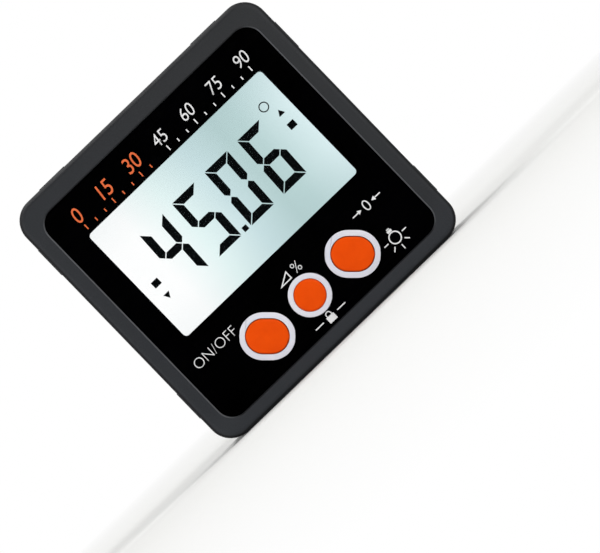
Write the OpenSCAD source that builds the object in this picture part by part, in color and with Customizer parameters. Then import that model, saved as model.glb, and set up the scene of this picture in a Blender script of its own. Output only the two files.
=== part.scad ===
// Digital inclinometer: a square box that shows the tilt of whichever of its sides rests on the work.
// The display looks along -Y, +X is to its right and +Z is up. The origin is in the middle of the base,
// in the plane that the base's contact strips rest on. Lengths are in millimetres, angles in degrees.

/* [Body] */
// Width across the contact strips of the two sides
body_w = 60; // [58:0.5:80]
// Height from the base's contact strips to those on top
body_h = 58.1; // [57:0.1:80]
// Depth from the front face to the back face
body_d = 30; // [27.5:0.5:45]
// Radius of the outline's corners, seen from the front
body_r = 4.6; // [3.4:0.1:8]
// Width of the bevel round the front and back edges
edge_bevel = 0.8; // [0.3:0.1:1.2]
// Wall of the housing
wall = 2; // [1.8:0.1:2.8]
// Thickness of the web behind the face panel
web_t = 1.6; // [1.2:0.1:2.4]
// Thickness of the rear housing's back wall
back_wall = 3.2; // [3:0.1:4]

/* [Contact strips, groove and magnets] */
// Height of a contact strip above the side that it stands on
strip_rise = 0.11; // [0.05:0.01:0.3]
// Width of a contact strip
strip_w = 6.2; // [5.6:0.1:8]
// Distance from the outline's square corner to a strip's middle
strip_inset = 10.9; // [9.5:0.1:13]
// Width of the square V groove that seats the base on a pipe
groove_w = 8; // [5:0.2:9]
// Diameter of a base magnet
magnet_d = 5; // [3:0.1:5.4]
// Thickness of a base magnet
magnet_t = 2; // [1:0.1:2.6]

/* [Face panel] */
// Width of the frame beside the panel
bezel_side = 3.4; // [2.8:0.1:4.5]
// Width of the frame above the panel
bezel_top = 4.1; // [3:0.1:5]
// Width of the frame below the panel
bezel_bottom = 3.1; // [2.6:0.1:3.8]
// Radius of the panel's corners
panel_r = 3.2; // [2:0.1:5]
// Thickness of the panel
panel_t = 1; // [0.8:0.1:1.5]
// Depth of the panel's face behind the frame's face
panel_recess = 0.4; // [0.35:0.05:1]
// Width of the bevel round the frame's inner edge
lip_bevel = 0.2; // [0.1:0.05:0.3]

/* [Display] */
// Width of the window
window_w = 43.3; // [38:0.1:44]
// Radius of the window's corners
window_r = 0.8; // [0.4:0.1:2]
// Distance of the window's middle to the right of the body's middle
window_x = 0.15; // [-0.5:0.05:0.5]
// Distance from the panel's top edge to the window's top edge
window_drop = 8.05; // [7.8:0.05:9]
// Distance from the panel's bottom edge to the window's bottom edge
window_rise = 17.03; // [16.6:0.01:20]
// Width of the lens flange that is glued behind the panel
lens_flange = 0.7; // [0.5:0.05:1]
// Thickness of the lens flange
lens_flange_t = 0.8; // [0.5:0.1:1.2]
// Thickness of the foam gasket in front of the display glass
gasket_t = 0.5; // [0.3:0.1:1]
// Thickness of each sheet of display glass
glass_t = 0.7; // [0.5:0.05:1]
// Gap between the two sheets, filled by the segments
cell_gap = 0.1; // [0.06:0.01:0.2]
// Width of glass hidden beyond the window on each side
glass_margin = 1.8; // [1.5:0.1:2]
// Height of the contact ledge below the rear glass
glass_ledge = 2.2; // [1.8:0.1:2.4]
// Thickness of the reflector film
film_t = 0.2; // [0.1:0.05:0.4]
// Thickness of the light guide
guide_t = 2.2; // [1.8:0.1:3]
// Wall of the display frame
frame_wall = 1; // [0.8:0.1:1.2]

/* [Reading] */
// The four digits on the display
reading = [4, 5, 0, 6];
// Height of a digit
digit_h = 13; // [10:0.1:15]
// Width of a digit
digit_w = 5.8; // [4.5:0.1:6.4]
// Distance from one digit to the next
digit_pitch = 8.27; // [7.6:0.01:8.6]
// Lean of the digits to the right
digit_slant = 2.4; // [0:0.1:6]
// Width of a segment
segment_w = 1.55; // [0.8:0.05:1.8]
// Gap between neighbouring segments
segment_gap = 0.18; // [0.1:0.01:0.3]
// Left foot of the first digit, from the window's middle
digits_at = [-15.6, -6.4];
// Middle of the decimal point, from the window's middle
point_at = [-0.15, -5.95];
// Width of the decimal point
point_w = 1.05; // [0.6:0.05:1.2]
// Middle of the degree ring, from the window's middle
degree_at = [17.65, 7.65];
// Outer diameter of the degree ring
degree_d = 2; // [1.2:0.1:2.6]
// Line width of the degree ring
degree_line = 0.22; // [0.12:0.02:0.4]
// Middle of the level mark on the left, from the window's middle
left_mark_at = [-18.85, -1.85];
// Middle of the level mark on the right, from the window's middle
right_mark_at = [19.15, 1.75];
// Width of a level mark
mark_w = 1.55; // [0.8:0.05:1.8]
// Height of a level mark
mark_h = 1.35; // [0.8:0.05:1.8]
// Distance from a level mark to its arrow
arrow_step = 3.15; // [2.4:0.05:4]
// Width of a direction arrow
arrow_w = 1.4; // [0.8:0.05:1.8]
// Height of a direction arrow
arrow_h = 1.2; // [0.8:0.05:1.8]

/* [Buttons] */
// Height of the buttons' middles above the panel's bottom edge
button_rise = 6.9; // [6.2:0.1:7.3]
// Distance from one button to the next
button_pitch = 10.77; // [10.5:0.01:11]
// Radius of the round cap in the middle
round_cap_r = 2.9; // [2.4:0.05:3.1]
// End radius of the two oval caps
oval_cap_r = 3.14; // [2.6:0.05:3.2]
// Distance between the end centres of an oval cap
oval_stretch = 1.6; // [0.5:0.05:1.8]
// Angle from the X axis to an oval's long axis
oval_tilt = -44; // [-60:1:0]
// Width of the pale ring round each cap
ring_w = 1.2; // [0.9:0.05:1.25]
// Height of a ring above the panel
ring_rise = 0.22; // [0.1:0.02:0.3]
// Height of a cap above the panel
cap_rise = 0.34; // [0.3:0.02:0.6]
// Width of the bevel round a cap's face
cap_bevel = 0.2; // [0.1:0.02:0.3]
// Travel of a button
button_travel = 0.3; // [0.2:0.02:0.5]
// Width of a cap's hidden flange
flange_w = 0.8; // [0.5:0.05:0.85]
// Thickness of a cap's hidden flange
flange_t = 0.8; // [0.5:0.05:1]
// Width and height of a switch body
switch_w = 6; // [4.5:0.1:6.4]
// Thickness of a switch body, in front of the board
switch_t = 2.4; // [2:0.1:2.6]
// Diameter of a switch plunger
plunger_d = 3; // [2:0.1:3.4]

/* [Board] */
// Thickness of the circuit board
board_t = 1.6; // [1:0.1:2]
// Diameter of a post that carries the board
post_d = 4.6; // [4:0.1:4.8]
// Diameter of a board screw
board_screw_d = 2; // [1.6:0.1:2.2]
// Length of a board screw under its head
board_screw_l = 4.6; // [3.5:0.1:4.8]
// Diameter of a board screw's head
board_screw_head_d = 3.8; // [3:0.1:4]
// Thickness of a board screw's head
board_screw_head_t = 1.3; // [0.8:0.1:1.6]
// Width and height of the processor's body
processor_w = 10; // [7:0.5:12]
// Width and height of the tilt sensor
sensor_w = 5; // [3:0.1:6]

/* [Housing screws and battery bay] */
// Diameter of a housing screw
housing_screw_d = 2.5; // [2:0.1:2.6]
// Length of a housing screw
housing_screw_l = 20; // [19:0.5:22]
// Diameter of a housing screw's countersunk head
housing_screw_head_d = 4.7; // [4.2:0.1:5]
// Outer diameter of a threaded insert
insert_d = 3.6; // [3.2:0.1:3.8]
// Length of a threaded insert
insert_l = 4; // [3:0.1:5]
// Diameter of a corner boss
boss_d = 6; // [5.4:0.1:6.2]
// Distance from the outline's sides and top to a corner boss's middle
boss_inset = 4.9; // [4.5:0.1:4.9]
// Height of the lower bosses' middles above the base, clear of the groove
boss_rise = 6.2; // [6.2:0.1:6.5]
// Diameter of an AAA cell
cell_d = 10.5; // [9.5:0.1:10.7]
// Length of an AAA cell with its button
cell_l = 44; // [43:0.1:44.5]
// Length of a contact spring as fitted
spring_l = 3.4; // [3.3:0.1:4.6]
// Diameter of a spring's wire
wire_d = 0.4; // [0.3:0.02:0.44]
// Turns of a spring
spring_turns = 3; // [2:1:3]
// Mean diameter of a spring at its terminal
spring_base_d = 7; // [6:0.1:7.4]
// Mean diameter of a spring at its cell
spring_tip_d = 5; // [4:0.1:6]
// Thickness of a battery terminal
terminal_t = 0.3; // [0.2:0.05:0.6]
// Width of a battery terminal's plate
terminal_w = 8; // [7.6:0.1:9]
// Wall of the battery bay
bay_wall = 0.8; // [0.7:0.1:1.4]
// Width of each edge of the door that slides under the back wall's lips
door_tongue = 1; // [0.6:0.05:1.4]
// Travel of the battery door before it leaves its guides
door_travel = 50; // [20:1:52]

/* [Hidden] */
$fn = 64;
charcoal = "#35393c";
panel_black = "#050506";
lilac_white = "#dcdae8";
orange = "#e65000";
clear = "#dff0f2";
steel = "#c9ccd0";
brass = "#c9a44a";
board_green = "#1f6b45";
chip_black = "#1c1c1e";

// Clearances
panel_gap = 0.1;       // panel, lens and rings in their openings
glue_gap = 0.05;       // seats closed by glue or a press
slide_gap = 0.1;       // sliding door in its guides
cap_gap = 0.15;        // cap inside its ring
flange_gap = 0.05;     // cap flange behind the web
plunger_gap = 0.12;    // plunger inside its switch
screw_gap = 0.05;      // screw in a thread
board_gap = 0.4;       // board round the bosses that it passes
cell_clear = 0.3;      // cell inside the bay
over = 1;              // how far a cutter runs past what it cuts
lip_cut = lip_bevel + 0.1; // lip bevel's cutter, which runs out of the face

// Size with the same width added on every side
function grown(size, rim) = [size[0] + 2 * rim, size[1] + 2 * rim];

// Outline of the housing without its contact strips
outer = [body_w - 2 * strip_rise, body_h - 2 * strip_rise];
cavity = grown(outer, -wall);
cavity_r = max(body_r - wall, 0.5);
mid_z = body_h / 2;

// Layers from the front to the back
front_y = -body_d / 2;
back_y = body_d / 2;
panel_y = front_y + panel_recess;
web_y = panel_y + panel_t;
web_back_y = web_y + web_t;
glass_y = web_back_y + gasket_t;
segment_y = glass_y + glass_t;
rear_glass_y = segment_y + cell_gap;
film_y = rear_glass_y + glass_t;
guide_y = film_y + film_t;
board_y = guide_y + guide_t;
board_back_y = board_y + board_t;
back_wall_y = back_y - back_wall;
split_y = 0; // the housing's halves meet on the groove's ridge

// Face panel, window and display
panel = [outer[0] - 2 * bezel_side, outer[1] - bezel_top - bezel_bottom];
panel_z = strip_rise + bezel_bottom + panel[1] / 2;
window = [window_w, panel[1] - window_drop - window_rise];
window_at = [window_x, panel_z + (window_rise - window_drop) / 2];
lens_foot = grown(window, lens_flange);
rear_glass = grown(window, glass_margin);
front_glass = [rear_glass[0], rear_glass[1] + glass_ledge];
front_glass_at = [window_at[0], window_at[1] - glass_ledge / 2];
glass_r = 0.3;
display_frame_size = grown(front_glass, panel_gap + frame_wall);
frame_top_z = front_glass_at[1] + display_frame_size[1] / 2;
frame_bottom_z = front_glass_at[1] - display_frame_size[1] / 2;
guide_side = 0.3;
lamp = [1, 1.2, 3];
peg_d = frame_wall;
peg_inset = 5;
peg_places = [for (x = [-1, 1], z = [frame_bottom_z + frame_wall / 2, frame_top_z - frame_wall / 2])
    [front_glass_at[0] + x * (display_frame_size[0] / 2 - peg_inset), z]];

// Buttons
button_z = strip_rise + bezel_bottom + button_rise;
cap_y = panel_y - cap_rise;
flange_y = web_back_y + flange_gap;
switch_y = board_y - switch_t;
plunger_seat_y = flange_y + flange_t;
plunger_root = 0.6;
switch_r = 0.4;
switch_leg = [0.8, 0.4, 0.8];
spigot_step = 0.5;
function button_at(i) = [(i - 1) * button_pitch, button_z];
function cap_r(i) = i == 1 ? round_cap_r : oval_cap_r;
function cap_stretch(i) = i == 1 ? 0 : oval_stretch;

// Magnets, groove and contact strips
groove_depth = groove_w / 2;
magnet_wall = 0.7;
magnet_roof = 1;
magnet_sink = 0.05;
magnet_boss_d = magnet_d + 2 * magnet_wall;
magnet_y = groove_w / 2 + magnet_boss_d / 2;
magnet_top_z = magnet_sink + magnet_t + glue_gap;
groove_roof_z = groove_depth + wall * sqrt(2);
mid_wall = grown(cavity, wall / 2);
mid_wall_r = cavity_r + wall / 2;
strip_x = body_w / 2 - strip_inset;
strip_z = body_h / 2 - strip_inset;
strip_setback = 0.4;
strip_end = edge_bevel + strip_setback;

// Board, its posts and the corner bosses
boss_x = outer[0] / 2 - boss_inset;
lower_boss_z = strip_rise + boss_rise;
upper_boss_z = strip_rise + outer[1] - boss_inset;
board_side_gap = 0.8;
board_bottom_z = magnet_top_z + magnet_roof + board_gap;
board_top_z = mid_z + cavity[1] / 2 - board_side_gap;
board = [cavity[0] - 2 * board_side_gap, board_top_z - board_bottom_z];
board_z = (board_top_z + board_bottom_z) / 2;
post_clear = 0.3;
board_r = 0.6;
boss_edge = boss_d / 2 + board_gap + post_clear + post_d / 2;
upper_post = [boss_x - boss_edge, frame_top_z + board_gap + post_d / 2];
lower_post = [button_pitch + oval_cap_r + oval_stretch / 2 + flange_w + post_clear + post_d / 2,
              lower_boss_z + boss_edge];
post_places = [for (side = [-1, 1], post = [lower_post, upper_post]) [side * post[0], post[1]]];
boss_places = [for (x = [-1, 1], z = [lower_boss_z, upper_boss_z]) [x * boss_x, z]];
insert_sink = 0.5;
screw_head_sink = 0.1;
screw_head_y = back_y - screw_head_sink;
screw_tip_y = screw_head_y - housing_screw_l;

// Parts on the back of the board, from its middle
processor_at = [-9, 1];
processor_t = 1.4;
chip_rise = 0.1;
leads_per_side = 8;
lead = [0.9, 0.35];
sensor_at = [8, 3];
sensor_t = 1.6;
crystal_at = [-9, -11];
crystal_r = 2.3;
crystal_l = 6;
crystal_t = 3.4;
capacitor_x = [-7, 1];
capacitor_drop = 4.9;
capacitor_places = [for (x = capacitor_x) [x, board[1] / 2 - capacitor_drop]];
capacitor_d = 5;
capacitor_t = 5.4;
resistor = [1.6, 0.5, 0.8];
resistor_pitch = 3;
resistor_drop = 17;
resistor_count = 5;
resistor_places = [for (i = [0:resistor_count - 1]) [i * resistor_pitch, -resistor_drop]];
regulator_at = [15, -8];
regulator = [4.5, 1.5, 2.5];
regulator_lead_pitch = 1.5;

// Battery bay and door
cell_spacing = 0.7;
cell_pitch = cell_d + cell_spacing;
bay = [cell_l + spring_l + 2 * terminal_t, cell_pitch + cell_d + 2 * cell_clear];
rim_depth = 1.2;
rim_t = 0.7;
rim_y = split_y - rim_depth;
rim_inside = grown(cavity, -slide_gap - rim_t);
bay_ledge = 1.2;
bay_r = 0.5;
rib_end = 4;
rib_h = 2.6;
rib_t = 0.9;
rib = [bay[0] - 2 * rib_end, rib_h, rib_t];
door_seat_y = back_wall_y + bay_ledge;
door_lip_t = (back_y - door_seat_y) / 2;
tongue_t = back_y - door_seat_y - door_lip_t - 2 * slide_gap;
door_inner_y = door_seat_y + slide_gap;
cell_y = door_inner_y - cell_clear - cell_d / 2;
bay_floor_y = cell_y - cell_d / 2 - cell_clear;
bay_bottom_y = bay_floor_y - bay_wall;
door_overlap = 1.25;
door_h = bay[1] + 2 * door_overlap;
door_end_overlap = 1.8;
door_left_x = -(bay[0] / 2 + door_end_overlap);
door_right_x = outer[0] / 2 - 2 * slide_gap;
grip_count = 5;
grip = [0.8, 0.4, 11];
grip_pitch = 1.7;
grip_inset = 9;
grip_right_x = door_right_x - grip_inset;
arrow = [2.4, 3.6, 0.25];
countersink_gap = 0.1;
screw_slot = [2.6, 0.5, 0.8];

// Battery contacts: the upper cell points left, the lower one right
cell_side = [1, -1];
terminal_x = bay[0] / 2 - terminal_t;
terminal_depth = 9.4;
terminal_rise = 0.2;
tail_w = 2;
cell_button = [3.8, 1];
function cell_z(i) = mid_z + (i == 0 ? -1 : 1) * cell_pitch / 2;

// Outline of a rectangle with round corners
module rounded_rect(size, r) {
    square([size[0] - 2 * r, size[1]], center = true);
    square([size[0], size[1] - 2 * r], center = true);
    for (x = [-1, 1], z = [-1, 1])
        translate([x * (size[0] / 2 - r), z * (size[1] / 2 - r)])
            circle(r);
}

// Flat drawing in the plane of the face, made solid between two depths
module slab(from, to, at = [0, 0])
    translate([at[0], to, at[1]])
        rotate([90, 0, 0])
            linear_extrude(to - from)
                children();

module plate(size, r, from, to, at = [0, 0])
    slab(from, to, at) rounded_rect(size, r);

module rod(d, from, to, at)
    slab(from, to, at) circle(d = d);

// Rounded rectangle that grows from its bevelled face over the bevel's width
module bevel_layer(size, r, bevel, from, at) {
    half = size / 2;
    translate([at[0], from, at[1]]) {
        for (x = [-1, 1], z = [-1, 1])
            translate([x * (half[0] - r), 0, z * (half[1] - r)])
                rotate([-90, 0, 0])
                    cylinder(r1 = r - bevel, r2 = r, h = bevel);
        translate([0, 0, r - half[1]])
            linear_extrude(size[1] - 2 * r)
                polygon([[bevel - half[0], 0], [half[0] - bevel, 0], [half[0], bevel], [-half[0], bevel]]);
        translate([r - half[0], 0, 0])
            rotate([90, 0, 90])
                linear_extrude(size[0] - 2 * r)
                    polygon([[0, bevel - half[1]], [bevel, -half[1]],
                             [bevel, half[1]], [0, half[1] - bevel]]);
    }
}

// Outline of a button: a circle, or two circles joined along the tilted axis
module oval(r, stretch)
    rotate(oval_tilt) {
        if (stretch > 0)
            square([stretch, 2 * r], center = true);
        for (x = stretch > 0 ? [-1, 1] : [0])
            translate([x * stretch / 2, 0])
                circle(r);
    }

module oval_slab(r, stretch, from, to, at)
    slab(from, to, at) oval(r, stretch);

// Bevelled face of a button cap
module oval_bevel(r, stretch, bevel, from, at)
    translate([at[0], from, at[1]])
        rotate([0, -oval_tilt, 0]) {
            for (x = stretch > 0 ? [-1, 1] : [0])
                translate([x * stretch / 2, 0, 0])
                    rotate([-90, 0, 0])
                        cylinder(r1 = r - bevel, r2 = r, h = bevel);
            if (stretch > 0)
                rotate([90, 0, 90])
                    translate([0, 0, -stretch / 2])
                        linear_extrude(stretch)
                            polygon([[0, bevel - r], [bevel, -r], [bevel, r], [0, r - bevel]]);
        }

// Body outline between two depths, bevelled at its outer end
module beveled_body(from, to, bevel_at_back)
    if (bevel_at_back) {
        plate(outer, body_r, from, to - edge_bevel, [0, mid_z]);
        mirror([0, 1, 0]) bevel_layer(outer, body_r, edge_bevel, -to, [0, mid_z]);
    } else {
        plate(outer, body_r, from + edge_bevel, to, [0, mid_z]);
        bevel_layer(outer, body_r, edge_bevel, from, [0, mid_z]);
    }

module contact_strips(from, to) {
    for (x = [-1, 1])
        translate([x * strip_x - strip_w / 2, from, 0])
            cube([strip_w, to - from, body_h]);
    for (z = [-1, 1])
        translate([-body_w / 2, from, mid_z + z * strip_z - strip_w / 2])
            cube([body_w, to - from, strip_w]);
}

module magnet_places(sides)
    for (x = [-1, 1], y = sides)
        translate([x * strip_x, y * magnet_y, 0])
            children();

// Inside the base of one half: the groove's slope, ended within the walls, and its magnet seats
module base_inside(side) {
    intersection() {
        translate([-body_w / 2, 0, 0])
            rotate([90, 0, 90])
                linear_extrude(body_w)
                    polygon([[side * groove_roof_z, 0], [0, 0], [0, groove_roof_z]]);
        plate(mid_wall, mid_wall_r, -groove_roof_z - over, groove_roof_z + over, [0, mid_z]);
    }
    magnet_places([side])
        translate([0, 0, wall / 2])
            cylinder(d = magnet_boss_d, h = magnet_top_z + magnet_roof - wall / 2);
}

// Cuts in the base of one half: the square V groove and the magnet holes
module base_cuts(side) {
    translate([-body_w / 2 - over, 0, 0])
        rotate([90, 0, 90])
            linear_extrude(body_w + 2 * over)
                polygon([[-groove_depth - over, -over], [groove_depth + over, -over], [0, groove_depth]]);
    magnet_places([side])
        translate([0, 0, -over])
            cylinder(d = magnet_d + 2 * glue_gap, h = magnet_top_z + over);
}

module front_housing()
    color(charcoal)
        difference() {
            union() {
                difference() {
                    union() {
                        beveled_body(front_y, split_y, false);
                        contact_strips(front_y + strip_end, split_y);
                    }
                    plate(cavity, cavity_r, web_back_y, split_y + over, [0, mid_z]);
                }
                base_inside(-1);
                for (at = boss_places)
                    rod(boss_d, web_back_y - over / 2, split_y, at);
                for (at = post_places)
                    rod(post_d, web_back_y - over / 2, board_y, at);
            }
            base_cuts(-1);
            plate(grown(panel, panel_gap), panel_r + panel_gap, front_y - over, web_y, [0, panel_z]);
            mirror([0, 1, 0])
                bevel_layer(grown(panel, panel_gap + lip_cut), panel_r + panel_gap + lip_cut,
                            lip_cut, -front_y - lip_bevel, [0, panel_z]);
            plate(grown(lens_foot, panel_gap), window_r, web_y - over, web_back_y + over, window_at);
            for (i = [0:2])
                oval_slab(cap_r(i) + ring_w - spigot_step + glue_gap, cap_stretch(i),
                          web_y - over, web_back_y + over, button_at(i));
            for (at = boss_places) {
                rod(housing_screw_d + 2 * slide_gap, screw_tip_y - insert_sink, split_y + over, at);
                rod(insert_d + 2 * glue_gap, split_y - insert_sink - insert_l, split_y - insert_sink, at);
            }
            for (at = post_places)
                rod(board_screw_d + 2 * screw_gap, web_back_y, board_y + over, at);
        }

module face_panel()
    color(panel_black)
        difference() {
            plate(panel, panel_r, panel_y, web_y, [0, panel_z]);
            plate(grown(window, glue_gap), window_r, panel_y - over, web_y + over, window_at);
            for (i = [0:2])
                oval_slab(cap_r(i) + ring_w + glue_gap, cap_stretch(i),
                          panel_y - over, web_y + over, button_at(i));
        }

module display_window()
    color(clear) {
        plate(window, window_r, panel_y, web_y, window_at);
        plate(lens_foot, window_r, web_y, web_y + lens_flange_t, window_at);
    }

// Ring i, counted from the left: its rim lies on the web and its spigot fills the web's hole
module button_ring(i)
    color(lilac_white)
        difference() {
            union() {
                oval_slab(cap_r(i) + ring_w, cap_stretch(i), panel_y - ring_rise, web_y, button_at(i));
                oval_slab(cap_r(i) + ring_w - spigot_step, cap_stretch(i), web_y, web_back_y, button_at(i));
            }
            oval_slab(cap_r(i) + cap_gap, cap_stretch(i), front_y - over, web_back_y + over, button_at(i));
        }

module power_button_ring() { button_ring(0); }
module hold_button_ring() { button_ring(1); }
module zero_button_ring() { button_ring(2); }

// Cap i: the bevelled face, the shank in the ring, and the flange that keeps it in
module button_cap(i)
    color(orange) {
        oval_bevel(cap_r(i), cap_stretch(i), cap_bevel, cap_y, button_at(i));
        oval_slab(cap_r(i), cap_stretch(i), cap_y + cap_bevel, flange_y + flange_t, button_at(i));
        oval_slab(cap_r(i) + flange_w, cap_stretch(i), flange_y, flange_y + flange_t, button_at(i));
    }

module power_button() { button_cap(0); }
module hold_button() { button_cap(1); }
module zero_button() { button_cap(2); }

// Plunger i: it touches the cap and stands in the bore of the switch
module switch_plunger(i)
    color("#3a3a3a")
        rod(plunger_d, plunger_seat_y, switch_y + plunger_root, button_at(i));

module power_switch_plunger() { switch_plunger(0); }
module hold_switch_plunger() { switch_plunger(1); }
module zero_switch_plunger() { switch_plunger(2); }

module switch_bodies()
    color("#2a2a2c")
        for (i = [0:2])
            difference() {
                union() {
                    plate([switch_w, switch_w], switch_r, switch_y, board_y, button_at(i));
                    for (x = [-1, 1], z = [-1, 1])
                        translate([button_at(i)[0] + x * (switch_w + switch_leg[0] / 2) / 2,
                                   board_y - switch_leg[1] / 2, button_at(i)[1] + z * switch_w / 3])
                            cube(switch_leg, center = true);
                }
                rod(plunger_d + 2 * plunger_gap, switch_y - over,
                    switch_y + plunger_root + button_travel + plunger_gap, button_at(i));
            }

module display_gasket()
    color("#303030")
        difference() {
            plate(front_glass, window_r, web_back_y, glass_y, front_glass_at);
            plate(lens_foot, window_r, web_back_y - over, glass_y + over, window_at);
        }

module lcd_front_glass()
    color(clear)
        plate(front_glass, glass_r, glass_y, segment_y, front_glass_at);

// Outline of segment s of a digit whose left foot is at the origin
function segment_points(s) =
    let (w = digit_w, h = digit_h, t = segment_w, g = segment_gap / 2 * sqrt(2), m = digit_h / 2)
    s == "a" ? [[g, h], [w - g, h], [w - t - g, h - t], [t + g, h - t]] :
    s == "d" ? [[g, 0], [t + g, t], [w - t - g, t], [w - g, 0]] :
    s == "g" ? [[t / 2 + g, m], [t + g, m + t / 2], [w - t - g, m + t / 2],
                [w - t / 2 - g, m], [w - t - g, m - t / 2], [t + g, m - t / 2]] :
    s == "f" ? [[0, h - g], [t, h - t - g], [t, m + t / 2 + g], [t / 2, m + g], [0, m + t / 2 + g]] :
    s == "e" ? [for (p = segment_points("f")) [p[0], h - p[1]]] :
    s == "b" ? [for (p = segment_points("f")) [w - p[0], p[1]]] :
               [for (p = segment_points("f")) [w - p[0], h - p[1]]];

// Segments that are dark in each digit from 0 to 9
digit_segments = ["abcdef", "bc", "abdeg", "abcdg", "bcfg", "acdfg", "acdefg", "abc", "abcdefg", "abcdfg"];

module digit(value)
    for (s = digit_segments[value])
        polygon([for (p = segment_points(s)) [p[0] + p[1] * tan(digit_slant), p[1]]]);

module level_mark(at, arrow_side) {
    translate(at)
        square([mark_w, mark_h], center = true);
    translate(at + [0, arrow_side * arrow_step])
        scale([arrow_w, arrow_h * arrow_side])
            polygon([[-0.5, -0.5], [0.5, -0.5], [0, 0.5]]);
}

module lcd_segments()
    color("#0c0c0e")
        slab(segment_y, rear_glass_y, window_at) {
            for (i = [0:3])
                translate(digits_at + [i * digit_pitch, 0])
                    digit(reading[i]);
            translate(point_at)
                square(point_w, center = true);
            translate(degree_at)
                difference() {
                    circle(d = degree_d);
                    circle(d = degree_d - 2 * degree_line);
                }
            level_mark(left_mark_at, -1);
            level_mark(right_mark_at, 1);
        }

module lcd_rear_glass()
    color(clear)
        plate(rear_glass, glass_r, rear_glass_y, film_y, window_at);

module reflector_film()
    color("#cfe0df")
        plate(rear_glass, glass_r, film_y, guide_y, window_at);

module backlight_guide()
    color("#f4f4f0")
        plate(grown(window, guide_side), glass_r, guide_y, board_y, window_at);

module backlight_leds()
    color("#f3e9b8")
        for (x = [-1, 1])
            translate([window_at[0] + x * (window_w / 2 + guide_side + panel_gap + lamp[0] / 2),
                       board_y - lamp[1] / 2, window_at[1]])
                cube(lamp, center = true);

module display_frame()
    color("#e8e8e6")
        difference() {
            union() {
                plate(display_frame_size, glass_r + frame_wall, glass_y, board_y, front_glass_at);
                for (at = peg_places)
                    rod(peg_d, board_y - over, board_back_y, at);
            }
            plate(grown(front_glass, panel_gap), glass_r, glass_y - over, board_y, front_glass_at);
        }

module connector_strip()
    color("#d98a9a")
        translate([window_at[0] - window_w / 2, segment_y,
                   window_at[1] - rear_glass[1] / 2 - glass_ledge + panel_gap])
            cube([window_w, board_y - segment_y, glass_ledge - 2 * panel_gap]);

module main_board()
    color(board_green)
        difference() {
            plate(board, board_r, board_y, board_back_y, [0, board_z]);
            for (at = boss_places)
                plate(grown([boss_d, boss_d], board_gap), board_r, board_y - over, board_back_y + over, at);
            for (at = post_places)
                rod(board_screw_d + 2 * slide_gap, board_y - over, board_back_y + over, at);
            for (at = peg_places)
                rod(peg_d + 2 * glue_gap, board_y - over, board_back_y + over, at);
        }

module board_screws()
    color(steel)
        for (at = post_places) {
            rod(board_screw_d, board_back_y - board_screw_l, board_back_y + board_screw_head_t / 2, at);
            difference() {
                rod(board_screw_head_d, board_back_y, board_back_y + board_screw_head_t, at);
                cross_slot(board_back_y + board_screw_head_t, at);
            }
        }

// Cross recess in a screw's head
module cross_slot(from, at)
    translate([at[0], from, at[1]])
        for (turn = [0, 90])
            rotate([0, turn, 0])
                cube([screw_slot[0], 2 * screw_slot[2], screw_slot[1]], center = true);

// Solid seated on the board's back, at a place counted from the board's middle
module on_board(at)
    translate([at[0], board_back_y, board_z + at[1]])
        children();

module processor_chip()
    color(chip_black)
        on_board(processor_at) {
            translate([-processor_w / 2, chip_rise, -processor_w / 2])
                cube([processor_w, processor_t - chip_rise, processor_w]);
            for (turn = [0:90:270])
                rotate([0, turn, 0])
                    for (i = [1:leads_per_side])
                        translate([processor_w / 2 - lead[1], 0,
                                   (i / (leads_per_side + 1) - 0.5) * processor_w - lead[1] / 2])
                            cube([lead[0] + lead[1], lead[1], lead[1]]);
        }

module tilt_sensor()
    color("#b9bcc0")
        on_board(sensor_at)
            translate([-sensor_w / 2, 0, -sensor_w / 2])
                cube([sensor_w, sensor_t, sensor_w]);

module crystal()
    color(steel)
        on_board(crystal_at)
            rotate([-90, 0, 0])
                linear_extrude(crystal_t) {
                    square([crystal_l, 2 * crystal_r], center = true);
                    for (x = [-1, 1])
                        translate([x * crystal_l / 2, 0])
                            circle(crystal_r);
                }

module capacitors()
    color("#c4c8cc")
        for (at = capacitor_places)
            on_board(at)
                rotate([-90, 0, 0])
                    cylinder(d = capacitor_d, h = capacitor_t);

module resistors()
    color(chip_black)
        for (at = resistor_places)
            on_board(at)
                translate([-resistor[0] / 2, 0, -resistor[2] / 2])
                    cube(resistor);

module voltage_regulator()
    color(chip_black)
        on_board(regulator_at) {
            translate([-regulator[0] / 2, 0, -regulator[2] / 2])
                cube(regulator);
            for (x = [-1, 0, 1] * regulator_lead_pitch)
                translate([x - lead[1] / 2, 0, -regulator[2] / 2 - lead[0]])
                    cube([lead[1], lead[1], lead[0] + lead[1]]);
        }

module base_magnets()
    color(steel)
        magnet_places([-1, 1])
            translate([0, 0, magnet_sink])
                cylinder(d = magnet_d, h = magnet_t);

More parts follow.
